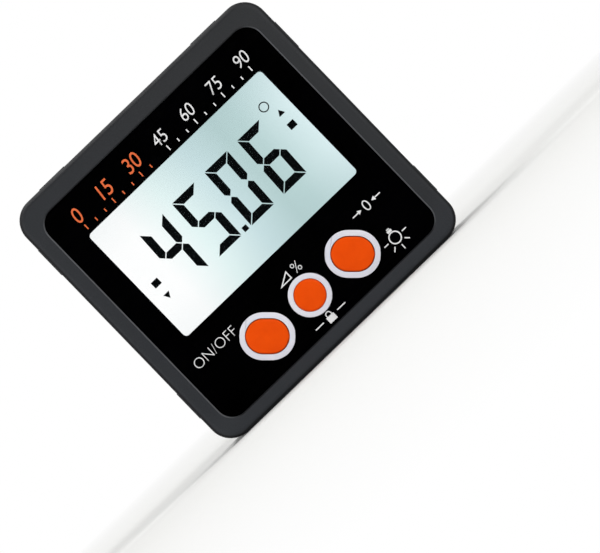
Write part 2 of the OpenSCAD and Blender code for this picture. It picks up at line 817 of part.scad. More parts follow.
// Rear half: its rim enters the front half, and it holds the battery bay and the door's guides
module rear_housing()
    color(charcoal) {
        difference() {
            union() {
                difference() {
                    union() {
                        beveled_body(split_y, back_y, true);
                        contact_strips(split_y, back_y - strip_end);
                        difference() {
                            plate(grown(cavity, -slide_gap), cavity_r, rim_y, split_y + over / 2, [0, mid_z]);
                            for (at = boss_places)
                                rod(boss_d + 2 * board_gap, rim_y - over, split_y, at);
                            translate([-body_w / 2, rim_y - over, 0])
                                cube([body_w, rim_depth + over, groove_roof_z + board_gap]);
                        }
                    }
                    plate(rim_inside, cavity_r, rim_y - over, split_y + rim_t + over, [0, mid_z]);
                    plate(cavity, cavity_r, split_y + rim_t, back_wall_y, [0, mid_z]);
                }
                base_inside(1);
                plate(grown(bay, bay_wall), bay_r + bay_wall,
                      bay_bottom_y, back_wall_y + over / 2, [0, mid_z]);
                for (at = boss_places)
                    rod(boss_d, split_y, back_wall_y + over / 2, at);
            }
            base_cuts(1);
            plate(bay, bay_r, bay_floor_y, back_y + over, [0, mid_z]);
            for (i = [0:1])
                translate([-bay[0] / 2 - slide_gap, bay_bottom_y - over, cell_z(i) - tail_w / 2 - slide_gap])
                    cube([terminal_t + 2 * slide_gap, bay_wall + 2 * over, tail_w + 2 * slide_gap]);
            translate([door_left_x - slide_gap, door_seat_y, mid_z - door_h / 2 - slide_gap])
                cube([body_w, back_wall, door_h + 2 * slide_gap]);
            translate([door_left_x - slide_gap, door_seat_y, mid_z - door_h / 2 - door_tongue - slide_gap])
                cube([body_w, back_y - door_seat_y - door_lip_t, door_h + 2 * (door_tongue + slide_gap)]);
            for (at = boss_places) {
                rod(housing_screw_d + 2 * slide_gap, split_y - over, back_y + over, at);
                screw_cone(countersink_gap, at);
            }
        }
        translate([-rib[0] / 2, bay_floor_y - bay_wall / 2, mid_z - rib[2] / 2])
            cube([rib[0], rib[1] + bay_wall / 2, rib[2]]);
    }

// Countersunk head of a housing screw, or its seat with a gap all round
module screw_cone(gap, at)
    translate([at[0], screw_head_y + gap, at[1]])
        rotate([90, 0, 0])
            cylinder(d1 = housing_screw_head_d + 2 * gap, d2 = 0, h = housing_screw_head_d / 2 + gap);

module housing_screws()
    color(steel)
        for (at = boss_places)
            difference() {
                union() {
                    screw_cone(0, at);
                    rod(housing_screw_d, screw_tip_y, screw_head_y - housing_screw_d / 2, at);
                }
                cross_slot(screw_head_y, at);
            }

module threaded_inserts()
    color(brass)
        for (at = boss_places)
            difference() {
                rod(insert_d, split_y - insert_sink - insert_l, split_y - insert_sink, at);
                rod(housing_screw_d + 2 * screw_gap, screw_tip_y - over, split_y + over, at);
            }

// Door that slides to the right: its edges run under the back wall's lips
module battery_door()
    color(charcoal)
        difference() {
            intersection() {
                translate([door_left_x, door_inner_y, 0])
                    union() {
                        translate([0, 0, mid_z - door_h / 2])
                            cube([door_right_x - door_left_x, back_y - door_inner_y, door_h]);
                        translate([0, 0, mid_z - door_h / 2 - door_tongue])
                            cube([door_right_x - door_left_x, tongue_t, door_h + 2 * door_tongue]);
                    }
                beveled_body(back_wall_y, back_y, true);
            }
            for (i = [1:grip_count])
                translate([grip_right_x - i * grip_pitch, back_y, mid_z])
                    cube([grip[0], 2 * grip[1], grip[2]], center = true);
            slab(back_y - arrow[2], back_y + over, [grip_right_x + grip_pitch, mid_z])
                polygon([[0, -arrow[1] / 2], [arrow[0], 0], [0, arrow[1] / 2]]);
        }

// Terminal with a tail that reaches the board through the bay's floor
module tailed_terminal(i) {
    translate([-bay[0] / 2, bay_floor_y + terminal_rise, cell_z(i) - terminal_w / 2])
        cube([terminal_t, terminal_depth, terminal_w]);
    translate([-bay[0] / 2, board_back_y, cell_z(i) - tail_w / 2])
        cube([terminal_t, bay_floor_y + terminal_rise + over - board_back_y, tail_w]);
}

module positive_terminal()
    color(brass)
        tailed_terminal(1);

module negative_terminal()
    color(brass)
        tailed_terminal(0);

module bridge_terminal()
    color(brass)
        translate([terminal_x, bay_floor_y + terminal_rise, cell_z(0) - terminal_w / 2])
            cube([terminal_t, terminal_depth, cell_pitch + terminal_w]);

// Contact spring along +X: a coil that narrows from its terminal to its cell, with straight ends
rings_per_turn = 8;
wire_sides = 6;
coil_rings = spring_turns * rings_per_turn;
coil_l = spring_l - 2 * wire_d;
function coil_angle(k) = 360 * k / rings_per_turn;
function coil_radius(k) = (spring_base_d + (spring_tip_d - spring_base_d) * k / coil_rings) / 2;
function radial(k) = [0, cos(coil_angle(k)), sin(coil_angle(k))];
function coil_point(k) = [wire_d + coil_l * k / coil_rings, 0, 0] + coil_radius(k) * radial(k);
function unit(v) = v / norm(v);
function heading(k) = unit(coil_point(k + 1) - coil_point(k - 1));
spring_points = concat([coil_point(0) - [wire_d, 0, 0]], [for (k = [0:coil_rings]) coil_point(k)],
                       [coil_point(coil_rings) + [wire_d, 0, 0]]);
coil_step = concat([0], [for (k = [0:coil_rings]) k], [coil_rings]);
last_ring = len(spring_points) - 1;
function ring_heading(n) =
    n == 0 || n == last_ring ? [1, 0, 0] :
    n == 1 || n == last_ring - 1 ? unit([1, 0, 0] + heading(coil_step[n])) :
    heading(coil_step[n]);
function wire_ring(n) =
    let (out = radial(coil_step[n]), across = cross(ring_heading(n), out))
    [for (q = [0:wire_sides - 1])
        let (turn = 360 * q / wire_sides)
        spring_points[n] + wire_d / 2 * (cos(turn) * out + sin(turn) * across)];
spring_gap = min([for (a = [0:last_ring], b = [a + rings_per_turn / 2 + 1:1:last_ring])
    norm(spring_points[a] - spring_points[b])]) - wire_d;
echo(least_gap_between_spring_turns = spring_gap);

module coil_spring()
    polyhedron(
        points = [for (n = [0:last_ring]) each wire_ring(n)],
        faces = concat(
            [[for (q = [0:wire_sides - 1]) q]],
            [for (n = [0:last_ring - 1], q = [0:wire_sides - 1])
                let (a = n * wire_sides + q, b = n * wire_sides + (q + 1) % wire_sides)
                each [[a, a + wire_sides, b + wire_sides], [a, b + wire_sides, b]]],
            [[for (q = [wire_sides - 1:-1:0]) last_ring * wire_sides + q]]));

module battery_springs()
    color(steel)
        for (i = [0:1])
            translate([-cell_side[i] * terminal_x, cell_y, cell_z(i)])
                rotate([0, 0, cell_side[i] > 0 ? 0 : 180])
                    coil_spring();

module cell(i)
    translate([cell_side[i] * terminal_x, cell_y, cell_z(i)])
        rotate([0, -90 * cell_side[i], 0]) {
            cylinder(d = cell_button[0], h = cell_button[1]);
            translate([0, 0, cell_button[1]])
                cylinder(d = cell_d, h = cell_l - cell_button[1]);
        }

module upper_battery()
    color("#3d5f9c")
        cell(1);

module lower_battery()
    color("#3d5f9c")
        cell(0);

front_housing();
face_panel();
display_window();
power_button_ring();
hold_button_ring();
zero_button_ring();
power_button();
hold_button();
zero_button();
power_switch_plunger();
hold_switch_plunger();
zero_switch_plunger();
switch_bodies();
display_gasket();
lcd_front_glass();
lcd_segments();
lcd_rear_glass();
reflector_film();
backlight_guide();
backlight_leds();
display_frame();
connector_strip();
main_board();
board_screws();
processor_chip();
tilt_sensor();
crystal();
capacitors();
resistors();
voltage_regulator();
base_magnets();
rear_housing();
housing_screws();
threaded_inserts();
battery_door();
positive_terminal();
negative_terminal();
bridge_terminal();
battery_springs();
upper_battery();
lower_battery();
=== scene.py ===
"""Dresses the digital inclinometer: housing, panel, display, buttons, prints, battery door and cells."""

from functools import partial
from math import cos, pi, radians, sin

import bpy
from mathutils import Matrix, Vector


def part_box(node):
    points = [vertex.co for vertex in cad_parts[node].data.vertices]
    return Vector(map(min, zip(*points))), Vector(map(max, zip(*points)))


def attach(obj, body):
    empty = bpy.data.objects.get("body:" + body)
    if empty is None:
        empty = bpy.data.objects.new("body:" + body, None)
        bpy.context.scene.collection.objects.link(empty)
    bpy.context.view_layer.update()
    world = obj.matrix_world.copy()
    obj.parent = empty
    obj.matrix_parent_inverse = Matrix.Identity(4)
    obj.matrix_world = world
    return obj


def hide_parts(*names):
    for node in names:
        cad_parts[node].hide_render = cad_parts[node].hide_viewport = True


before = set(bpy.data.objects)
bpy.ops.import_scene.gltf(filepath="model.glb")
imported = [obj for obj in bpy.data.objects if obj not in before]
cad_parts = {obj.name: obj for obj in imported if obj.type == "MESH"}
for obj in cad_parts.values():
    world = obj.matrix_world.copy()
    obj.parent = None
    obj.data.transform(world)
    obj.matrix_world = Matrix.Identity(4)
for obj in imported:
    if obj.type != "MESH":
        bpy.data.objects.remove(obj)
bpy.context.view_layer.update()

bl_info = {
    "name": "Digital inclinometer",
    "version": (1, 0, 0),
    "blender": (4, 5, 0),
    "location": "3D View > Sidebar > Inclinometer",
    "description": "Builds the visible pieces and finishes of a square digital inclinometer",
    "category": "Object",
}

MM = 0.001
SAME = 1e-6  # places nearer than this, in metres, are the same

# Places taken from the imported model, in metres
PANEL_LOW, PANEL_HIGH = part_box("face_panel")
WINDOW_LOW, WINDOW_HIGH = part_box("display_window")
FACE_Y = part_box("front_housing")[0].y
BACK_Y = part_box("rear_housing")[1].y
PANEL_Y = PANEL_LOW.y
CELLS = [sum(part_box(name), Vector()) / 2 for name in ("lower_battery", "upper_battery")]

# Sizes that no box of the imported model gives, in metres
OUTER = (29.89 * MM, 0.11 * MM, 57.99 * MM)  # half width, lowest and highest point without the contact strips
MID_Z = (OUTER[1] + OUTER[2]) / 2
BODY_R = 4.6 * MM  # corners of the housing, seen from the front
FACE_BEVEL = 0.8 * MM
PANEL_R = 3.2 * MM
CAP_BEVEL = 0.2 * MM
CELL_R, CELL_L = 5.25 * MM, 44 * MM
SPRING_L, SPRING_FOOT_R, SPRING_TIP_R, SPRING_TURNS = 3.4 * MM, 3.5 * MM, 2.5 * MM, 3


# ---------------------------------------------------------------- materials

# Settings of a node kind where a recipe names no other
USUAL = {"Math": {"operation": "MULTIPLY"}, "Mix": {"data_type": "RGBA"}}


def linear(colour):
    """Scene colour, with alpha, of an sRGB hex such as "#35393c"."""
    parts = [int(colour[i:i + 2], 16) / 255 for i in (1, 3, 5)]
    return (*(p / 12.92 if p <= 0.04045 else ((p + 0.055) / 1.055) ** 2.4 for p in parts), 1.0)


def add_node(tree, kind, *values, out=None, **settings):
    """Adds a node with its settings, fills its inputs in order or by name, and gives one of its outputs.

    A value is a number, a hex colour, another node's output, or None for the input's own default.
    """
    made = tree.nodes.new("ShaderNode" + kind)
    for key, value in {**USUAL.get(kind, {}), **settings}.items():
        setattr(made, key, value)
    if values and isinstance(values[0], dict):
        filled = [(made.inputs[key], value) for key, value in values[0].items()]
    else:
        filled = zip([socket for socket in made.inputs if socket.enabled], values)
    for socket, value in filled:
        if isinstance(value, bpy.types.NodeSocket):
            tree.links.new(value, socket)
        elif value is not None:
            socket.default_value = linear(value) if isinstance(value, str) else value
    return made.outputs[out] if out else next(socket for socket in made.outputs if socket.enabled)


def start(name, **sockets):
    """New material: itself, a function that adds nodes to it, its shader and Object coordinates.

    Constants go straight to the shader's sockets. A material that is there already comes back alone.
    """
    old = bpy.data.materials.get(name)
    if old:
        return old, None, None, None
    made = bpy.data.materials.new(name)
    made.use_nodes = True
    shader = made.node_tree.nodes["Principled BSDF"]
    for key, value in sockets.items():
        shader.inputs[key.replace("_", " ")].default_value = value
    add = partial(add_node, made.node_tree)
    return made, add, shader, add("TexCoord", out="Object")


def finish(shader, colour, rough, normal=None, **more):
    """Links the patterns of colour, roughness and relief, and any more, to the shader."""
    links = {"Base Color": colour, "Roughness": rough, "Normal": normal,
             **{key.replace("_", " "): value for key, value in more.items()}}
    for key, value in links.items():
        if value is not None:
            shader.id_data.links.new(value, shader.inputs[key])


def streaks(add, place, size_mm, stretch, detail, roughness=0.5):
    """Noise of size_mm drawn out along some axes: scuffs, wiping marks and tool lines."""
    return add("TexNoise", add("Mapping", place, None, None, stretch), 1 / (size_mm * MM), detail, roughness)


def drifting(add, pattern, first, second, most=1.0, low=0.3, high=0.7):
    """Colour that drifts from one shade towards another as a pattern goes from low to high."""
    return add("Mix", add("MapRange", pattern, low, high, 0.0, most), first, second)


def fill_ramp(ramp, stops):
    """Sets a colour ramp's stops from places and hex colours."""
    bar = ramp.color_ramp
    while len(bar.elements) < len(stops):
        bar.elements.new(0.5)
    for element, (at, colour) in zip(bar.elements, stops):
        element.position, element.color = at, linear(colour)


def edge_wear(add, radius_mm):
    """1 on edges and corners, 0 on flat faces: where hands and work rub, and where caps and rings take a
    painted highlight.
    """
    rounded = add("Bevel", radius_mm * MM, samples=4)
    along = add("VectorMath", rounded, add("NewGeometry", out="Normal"), operation="DOT_PRODUCT")
    return add("MapRange", add("Math", 1.0, along, operation="SUBTRACT"), 0.02, 0.3, 0.0, 1.0)


def relief(add, height, depth_mm, edge_mm=0.0):
    """Bumped normal; with edge_mm, edges catch the light as if that much were rounded off."""
    rounded = add("Bevel", edge_mm * MM, samples=4) if edge_mm else None
    return add("Bump", {"Height": height, "Distance": depth_mm * MM, "Strength": 1.0, "Normal": rounded})


def moulded_plastic(name, colour, edge_colour, drift, grain_mm=0.22, depth_mm=0.012, rough=(0.42, 0.56),
                    edge_mm=0.12, **sockets):
    """Injection-moulded plastic: spark-eroded grain, slow drift of shade, and edges in their own colour:
    polished wear, and on the button rings a painted highlight.
    """
    made, add, shader, place = start(name, **sockets)
    if add:
        slow = add("TexNoise", place, 1 / (14 * MM), 2)
        grain = add("TexNoise", place, 1 / (grain_mm * MM), 2, 0.7)
        scuffs = streaks(add, place, 3.5, (1.0, 1.0, 0.35), 5, 0.65)
        # Edges take their own colour: wear on most parts, a painted highlight on the button rings
        rubbed = add("Math", edge_wear(add, 0.35), add("MapRange", scuffs, 0.3, 0.7, 0.15, 0.9))
        finish(shader, add("Mix", rubbed, drifting(add, slow, colour, drift), edge_colour),
               add("Math", rubbed, -0.12, add("MapRange", scuffs, 0.3, 0.7, *rough),
                   operation="MULTIPLY_ADD"),
               relief(add, grain, depth_mm, edge_mm))
    return made


def rim_masks(add, place):
    """Masks for painted light on the housing: painted shade on its faces' outer edge and on bevels that face
    up, and a painted highlight on the panel's side lips.
    """
    x, y, z = add("SeparateXYZ", place).node.outputs
    across, ahead, up = add("SeparateXYZ", add("TexCoord", out="Normal")).node.outputs
    half, low, high = OUTER
    # Distance from the middle of the corners' roundings, which is BODY_R all along the outline
    beyond_x = add("Math", add("Math", x, operation="ABSOLUTE"), half - BODY_R, operation="SUBTRACT")
    from_mid = add("Math", add("Math", z, MID_Z, operation="SUBTRACT"), operation="ABSOLUTE")
    beyond_z = add("Math", from_mid, (high - low) / 2 - BODY_R, operation="SUBTRACT")
    beyond_x, beyond_z = (add("Math", way, 0.0, operation="MAXIMUM") for way in (beyond_x, beyond_z))
    out = add("VectorMath", add("CombineXYZ", beyond_x, 0.0, beyond_z), operation="LENGTH")
    # The last half millimetre before the outline, on the last millimetre of the housing's depth
    at_end = add("MapRange", add("Math", y, operation="ABSOLUTE"), -FACE_Y - 1.0 * MM, -FACE_Y - FACE_BEVEL,
                 0.0, 1.0)
    last = add("MapRange", out, BODY_R - 0.65 * MM, BODY_R - 0.35 * MM, 0.0, 1.0)
    # Painted shade: the outline's last stretch, and surfaces there that face up and so catch the lamps, are
    # painted dark
    rim = add("Math", at_end, add("Math", last, add("Math", up, 1.25), operation="MAXIMUM"))
    # Painted highlight: sideways surfaces half turned from the front, at the front, and well within the
    # outline
    ahead = add("Math", ahead, ahead)
    in_front = add("MapRange", y, FACE_Y + 0.9 * MM, FACE_Y + 1.1 * MM, 1.0, 0.0)
    within = add("MapRange", out, BODY_R - 2 * MM, BODY_R - 1.5 * MM, 1.0, 0.0)
    painted_lip_highlight = add("Math", 1.0, ahead, operation="SUBTRACT")
    for factor in (ahead, 8.0, in_front, within, across, across):
        painted_lip_highlight = add("Math", painted_lip_highlight, factor)
    return rim, painted_lip_highlight


def housing_plastic(size):
    """Charcoal ABS with a fine spark-eroded grain, darker on its outer edges by burnished wear and painted
    shade, and with a painted highlight on the panel's side lips.
    """
    made, add, shader, place = start("charcoal_spark_grained_abs", Specular_IOR_Level=0.16)
    if add:
        grain = add("TexNoise", place, 1 / (0.2 * MM), 2, 0.75)
        pits = add("TexNoise", place, 1 / (0.55 * MM), 3, 0.6)
        slow = add("TexNoise", place, 1 / (12 * MM), 3)
        scuffs = streaks(add, place, 2.6, (1.0, 0.8, 0.4), 6, 0.68)
        # Painted light: the tone drifts from a cool cast low on the left to neutral high on the right, as the
        # light fell, and it is paler near the base
        across = add("VectorMath", place, (1.0, 0.0, 0.8), operation="DOT_PRODUCT")
        lift = add("Math", add("MapRange", across, -24 * MM, 66 * MM, 0.0, 1.0),
                   add("MapRange", slow, 0.3, 0.7, -0.14, 0.14), operation="ADD")
        body = add("Mix", lift, size.housing_low, size.housing_high)
        body = drifting(add, add("SeparateXYZ", place, out="Z"), "#303236", body, 1.0, 3 * MM, 8 * MM)
        body = drifting(add, grain, body, "#45484a", 0.3, 0.42, 0.8)
        rubbed = add("Math", edge_wear(add, 0.4), add("MapRange", scuffs, 0.35, 0.6, 0.7, 1.0))
        rim, painted_lip_highlight = rim_masks(add, place)
        # Burnished wear on rubbed edges, at half strength, and the painted shade on the outer rim darken the
        # body
        dark = add("Math", add("Math", rubbed, 0.5), rim, operation="MAXIMUM")
        body = add("Mix", dark, body, size.housing_worn)
        # The panel's side lips get a painted highlight
        finish(shader, add("Mix", painted_lip_highlight, body, size.housing_lip),
               add("Math", rubbed, -0.1, add("MapRange", scuffs, 0.3, 0.7, 0.5, 0.6),
                   operation="MULTIPLY_ADD"),
               relief(add, add("Math", pits, 0.6, grain, operation="MULTIPLY_ADD"), 0.014, 0.12))
    return made


def panel_acrylic(size):
    """Back-painted black acrylic: a clear polished face with faint wiping marks over a dead-black coat."""
    made, add, shader, place = start(
        "back_painted_black_acrylic", IOR=1.49, Coat_Weight=0.15, Coat_Roughness=0.05)
    if add:
        wiped = streaks(add, place, 1.4, (0.5, 1.0, 2.4), 5, 0.62)
        haze = add("TexNoise", place, 1 / (16 * MM), 3)
        dust = add("TexVoronoi", place, 1 / (1.5 * MM))
        specks = add("MapRange", dust, 0.0, 0.045, 0.10, 0.0)
        coat = drifting(add, haze, "#000000", size.panel)
        finish(shader, add("Mix", specks, coat, "#2c2d30"),
               add("MapRange", wiped, 0.3, 0.7, 0.07, 0.15), relief(add, wiped, 0.0004, 0.05))
    return made


def ring_plastic(size):
    """Lilac-white polycarbonate of the button rings: satin, with a painted highlight, a little paler and
    warmer, where its edges turn.
    """
    # The edge colour #f4f2f7 is a painted highlight where the ring's edges turn
    return moulded_plastic(
        "lilac_white_polycarbonate", size.ring, "#f4f2f7", "#d5d5df", grain_mm=0.12, depth_mm=0.003,
        rough=(0.28, 0.4), edge_mm=0.1, Subsurface_Weight=0.06, Subsurface_Radius=(0.001, 0.0008, 0.0008),
        Subsurface_Scale=0.3)


def button_plastic(size):
    """Orange silicone-feel caps: dense colour, soft sheen, fine grain, and a paler line painted as a
    highlight where the edges turn.
    """
    made, add, shader, place = start(
        "orange_matt_moulded_cap", Specular_IOR_Level=0.06, Subsurface_Weight=0.05,
        Subsurface_Radius=(0.001, 0.0004, 0.0002), Subsurface_Scale=0.3)
    if add:
        slow = add("TexNoise", place, 1 / (2.5 * MM), 3)
        grain = add("TexNoise", place, 1 / (0.13 * MM), 2, 0.7)
        sheen = add("TexNoise", place, 1 / (0.9 * MM), 4)
        # Painted highlight: a paler line where the cap's edges turn
        painted_edge_highlight = add("Math", edge_wear(add, 0.22), 0.35)
        body = drifting(add, slow, size.button, size.button_drift)
        finish(shader, add("Mix", painted_edge_highlight, body, "#e8672c"),
               add("MapRange", sheen, 0.3, 0.7, 0.4, 0.52), relief(add, grain, 0.004, 0.08))
    return made


def print_ink(name, colour, drift):
    """Screen-printed ink: dense, slightly raised, with a soft gloss and tiny pinholes."""
    made, add, shader, place = start(name)
    if add:
        slow = add("TexNoise", place, 1 / (3 * MM), 3)
        pinholes = add("TexNoise", place, 1 / (0.09 * MM), 2)
        finish(shader, drifting(add, pinholes, drifting(add, slow, colour, drift), drift, 0.5, 0.5, 0.85),
               add("MapRange", pinholes, 0.3, 0.7, 0.36, 0.5), relief(add, pinholes, 0.002))
    return made


def clear_sheet(name, colour, drift, alpha, ior):
    """Clear sheet that the display shows through, with faint wiping marks in its gloss."""
    made, add, shader, place = start(name, IOR=ior, Alpha=alpha)
    if add:
        marks = streaks(add, place, 2.2, (0.6, 1.0, 1.6), 4)
        finish(shader, drifting(add, marks, colour, drift), add("MapRange", marks, 0.3, 0.7, 0.02, 0.05),
               relief(add, marks, 0.0003))
    return made


def reflector():
    """Transflective film whose glow is partly its backlight and partly painted light for the room light it
    would reflect: it falls from white at the left to grey-teal at the right.
    """
    made, add, shader, place = start("transflective_film_with_painted_glow", Emission_Strength=1.13)
    if add:
        x, _, z = add("SeparateXYZ", place).node.outputs
        run = add("MapRange", x, -21.5 * MM, 21.8 * MM, 0.0, 1.0)  # from the glow's left end to its right end
        glow = add("ValToRGB", run)
        fill_ramp(glow.node, [
            (0.14, "#fcfdfd"), (0.34, "#e3f4f3"), (0.53, "#c8dfe2"), (0.70, "#b4cece"), (0.80, "#b9d3d3"),
            (1.0, "#d8ecee")])
        # Painted shade: the glow falls off from the middle, 33 mm up, towards the top and the bottom, more so
        # on the right
        off_middle = add("Math", add("Math", z, 33 * MM, operation="SUBTRACT"), 12.8 * MM, operation="DIVIDE")
        far = add("Math", off_middle, off_middle)
        painted_falloff_shade = add(
            "Math", add("MapRange", far, 0.15, 1.2, 0.0, 1.0), add("MapRange", run, 0.2, 0.9, 0.16, 0.42))
        weave = add("TexNoise", place, 1 / (0.25 * MM), 2)
        # The film shows by its painted glow, so its own surface stays dull under the room's light
        finish(shader, add("Mix", weave, "#0c1213", "#12191b"),
               add("MapRange", weave, 0.3, 0.7, 0.5, 0.62), relief(add, weave, 0.002),
               Emission_Color=add("Mix", painted_falloff_shade, glow, "#a9c3c5"))
    return made


def segment_ink():
    """Darkened liquid crystal: blue-black, faintly uneven in depth."""
    made, add, shader, place = start("darkened_liquid_crystal", Specular_IOR_Level=0.05)
    if add:
        cloud = add("TexNoise", place, 1 / (0.5 * MM), 3)
        finish(shader, drifting(add, cloud, "#020305", "#07090c"),
               add("MapRange", cloud, 0.3, 0.7, 0.45, 0.6), relief(add, cloud, 0.001))
    return made


def foam_rubber():
    """Black closed-cell foam: fine open bubbles on the cut face."""
    made, add, shader, place = start("black_closed_cell_foam", Specular_IOR_Level=0.25)
    if add:
        bubbles = add("TexVoronoi", place, 1 / (0.16 * MM))
        finish(shader, drifting(add, bubbles, "#141415", "#2b2c2e", 1.0, 0.1, 0.7),
               add("MapRange", bubbles, 0.3, 0.7, 0.75, 0.95), relief(add, bubbles, 0.05))
    return made


def striped_rubber():
    """Elastomer connector: grey insulating rubber with fine dark conducting layers."""
    made, add, shader, place = start("layered_connector_rubber")
    if add:
        layers = add("TexWave", place, 1 / (3 * MM), 0.05, out="Fac")
        cloud = add("TexNoise", place, 1 / (1 * MM), 3)
        finish(shader, drifting(add, layers, "#5f666b", "#232527", 1.0, 0.45, 0.55),
               add("MapRange", cloud, 0.3, 0.7, 0.5, 0.65), relief(add, cloud, 0.01))
    return made


def turned_metal(name, colour, drift, edge_colour, rough=(0.2, 0.36), lines=(1.0, 14.0, 1.0), line_mm=0.6,
                 stain=None):
    """Machined or drawn metal: fine tool lines, uneven plating, brighter rubbed edges."""
    made, add, shader, place = start(name, Metallic=1.0)
    if add:
        tool = streaks(add, place, line_mm, lines, 3, 0.6)
        body = drifting(add, add("TexNoise", place, 1 / (1.6 * MM), 4), colour, drift)
        if stain:
            blots = add("TexNoise", place, 1 / (0.8 * MM), 5, 0.7)
            body = drifting(add, blots, body, stain, 0.6, 0.52, 0.72)
        finish(shader, add("Mix", edge_wear(add, 0.12), body, edge_colour),
               add("MapRange", tool, 0.3, 0.7, *rough), relief(add, tool, 0.002, 0.06))
    return made


def board_laminate():
    """Green solder mask over copper tracks on glass-epoxy: tracks stand a little proud and read lighter."""
    made, add, shader, place = start("green_masked_glass_epoxy", Coat_Weight=0.4, Coat_Roughness=0.15)
    if add:
        turned = add("Mapping", place, None, (pi / 2, 0.0, 0.0))
        tracks = add("TexBrick", {
            "Vector": turned, "Color1": "#000000", "Color2": "#000000", "Mortar": "#ffffff", "Scale": 1.0,
            "Mortar Size": 0.16 * MM, "Mortar Smooth": 0.1, "Brick Width": 5.2 * MM,
            "Row Height": 1.9 * MM}, out="Fac")
        weave = streaks(add, place, 0.5, (1.0, 1.0, 0.4), 2)
        tin = add("MapRange", add("TexVoronoi", place, 1 / (3.6 * MM)), 0.13, 0.15, 1.0, 0.0)
        masked = add("Mix", tracks, drifting(add, weave, "#12502f", "#185c38"), "#2a7a4a")
        raised = add("Math", tin, 0.8, tracks, operation="MULTIPLY_ADD")
        finish(shader, add("Mix", tin, masked, "#c4c6c8"),
               add("MapRange", weave, 0.3, 0.7, 0.28, 0.4), relief(add, raised, 0.035, 0.05), Metallic=tin)
    return made


def cell_jacket():
    """Shrunk PVC jacket of a dry cell: dark body, a warm band at the button end, thin pale rings between."""
    made, add, shader, place = start("shrunk_pvc_cell_jacket", Coat_Weight=0.3, Coat_Roughness=0.12)
    if add:
        bands = add("ValToRGB", add("SeparateXYZ", add("UVMap", uv_map="along")))
        bands.node.color_ramp.interpolation = "CONSTANT"
        fill_ramp(bands.node, [
            (0.0, "#1b1d22"), (0.06, "#c9cbcd"), (0.08, "#1b1d22"), (0.70, "#d8dadc"), (0.715, "#c8671e"),
            (0.955, "#d8dadc")])
        wrinkle = streaks(add, place, 1.8, (0.3, 1.0, 1.0), 4)
        finish(shader, drifting(add, wrinkle, bands, "#8d8f93", 0.12),
               add("MapRange", wrinkle, 0.3, 0.7, 0.22, 0.36), relief(add, wrinkle, 0.02))
    return made


def zinc_steel():
    """Bright zinc plate on small steel parts: faint tool lines and a slightly uneven grey."""
    return turned_metal("zinc_plated_steel", "#c3c6ca", "#b2b5b9", "#e0e2e4")


def dress(node, made):
    """Gives a carried-over CAD node its finish, in the slots that it has."""
    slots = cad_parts[node].material_slots
    if not slots:
        raise RuntimeError(f"{node} has no material slot")
    for slot in slots:
        slot.material = made


# ---------------------------------------------------------------- modelling helpers

def only(piece):
    """Selects one piece and makes it the active one."""
    if bpy.context.object and bpy.context.object.mode != "OBJECT":
        bpy.ops.object.mode_set(mode="OBJECT")
    bpy.ops.object.select_all(action="DESELECT")
    piece.select_set(True)
    bpy.context.view_layer.objects.active = piece


def edit(piece, action="SELECT"):
    """Opens a piece for editing with all or none of it selected."""
    only(piece)
    bpy.ops.object.mode_set(mode="EDIT")
    bpy.ops.mesh.select_mode(type="VERT")
    bpy.ops.mesh.select_all(action=action)


def done(piece):
    if piece.mode != "OBJECT":
        bpy.ops.object.mode_set(mode="OBJECT")


def pick(piece, kind, numbers):
    """Opens a piece for editing with only these vertices, edges or faces selected."""
    edit(piece, "DESELECT")
    bpy.ops.mesh.select_mode(type=kind)
    done(piece)
    items = {"VERT": piece.data.vertices, "EDGE": piece.data.edges, "FACE": piece.data.polygons}[kind]
    for number in numbers:
        items[number].select = True
    bpy.ops.object.mode_set(mode="EDIT")


def face_outwards(piece):
    """Merges a piece's doubled vertices and turns its faces outwards."""
    edit(piece)
    bpy.ops.mesh.remove_doubles(threshold=SAME / 10)
    bpy.ops.mesh.normals_make_consistent(inside=False)
    done(piece)


def copy_of(node, name):
    """A node's mesh as a new piece, with its loose triangles merged back into flat faces."""
    piece = bpy.data.objects.new(name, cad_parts[node].data.copy())
    bpy.context.scene.collection.objects.link(piece)
    only(piece)
    bpy.ops.mesh.customdata_custom_splitnormals_clear()
    edit(piece)
    bpy.ops.mesh.remove_doubles(threshold=SAME)
    bpy.ops.mesh.dissolve_limited(angle_limit=radians(0.4))
    bpy.ops.mesh.normals_make_consistent(inside=False)
    done(piece)
    piece.data.materials.clear()
    return piece


def round_edges(piece, wanted, width_mm, segments=3, sharper_than=20):
    """Rounds the edges for which wanted(end, other_end) holds and whose faces meet at more than an angle."""
    edit(piece, "DESELECT")
    done(piece)
    mesh = piece.data
    normals = {}
    for face in mesh.polygons:
        for key in face.edge_keys:
            normals.setdefault(key, []).append(face.normal)
    chosen = []
    for item in mesh.edges:
        pair = normals.get(tuple(sorted(item.vertices)), [])
        ends = [mesh.vertices[i].co for i in item.vertices]
        if len(pair) == 2 and pair[0].angle(pair[1], 0) > radians(sharper_than) and wanted(*ends):
            chosen.append(item.index)
    if not chosen:
        raise RuntimeError(f"no edge to round on {piece.name}")
    pick(piece, "EDGE", chosen)
    bpy.ops.mesh.bevel(offset=width_mm * MM, segments=segments, affect="EDGES", clamp_overlap=True,
                       loop_slide=True, miter_outer="SHARP")
    done(piece)


def at_level(axis, *levels):
    """Test for edges that lie at one of these places on an axis."""
    return lambda a, b: any(abs(a[axis] - level) < SAME and abs(b[axis] - level) < SAME for level in levels)


def off_middle(piece):
    """Function that gives a point's way out from the middle line of an oval piece, seen from the front."""
    low, high = [Vector(end(v.co[i] for v in piece.data.vertices) for i in range(3)) for end in (min, max)]
    centre, straight = (low + high) / 2, (high.x - low.x - high.z + low.z) / 2

    def out(point):
        x = point.x - centre.x
        return Vector((x - max(-straight, min(straight, x)), 0, point.z - centre.z))
    return out


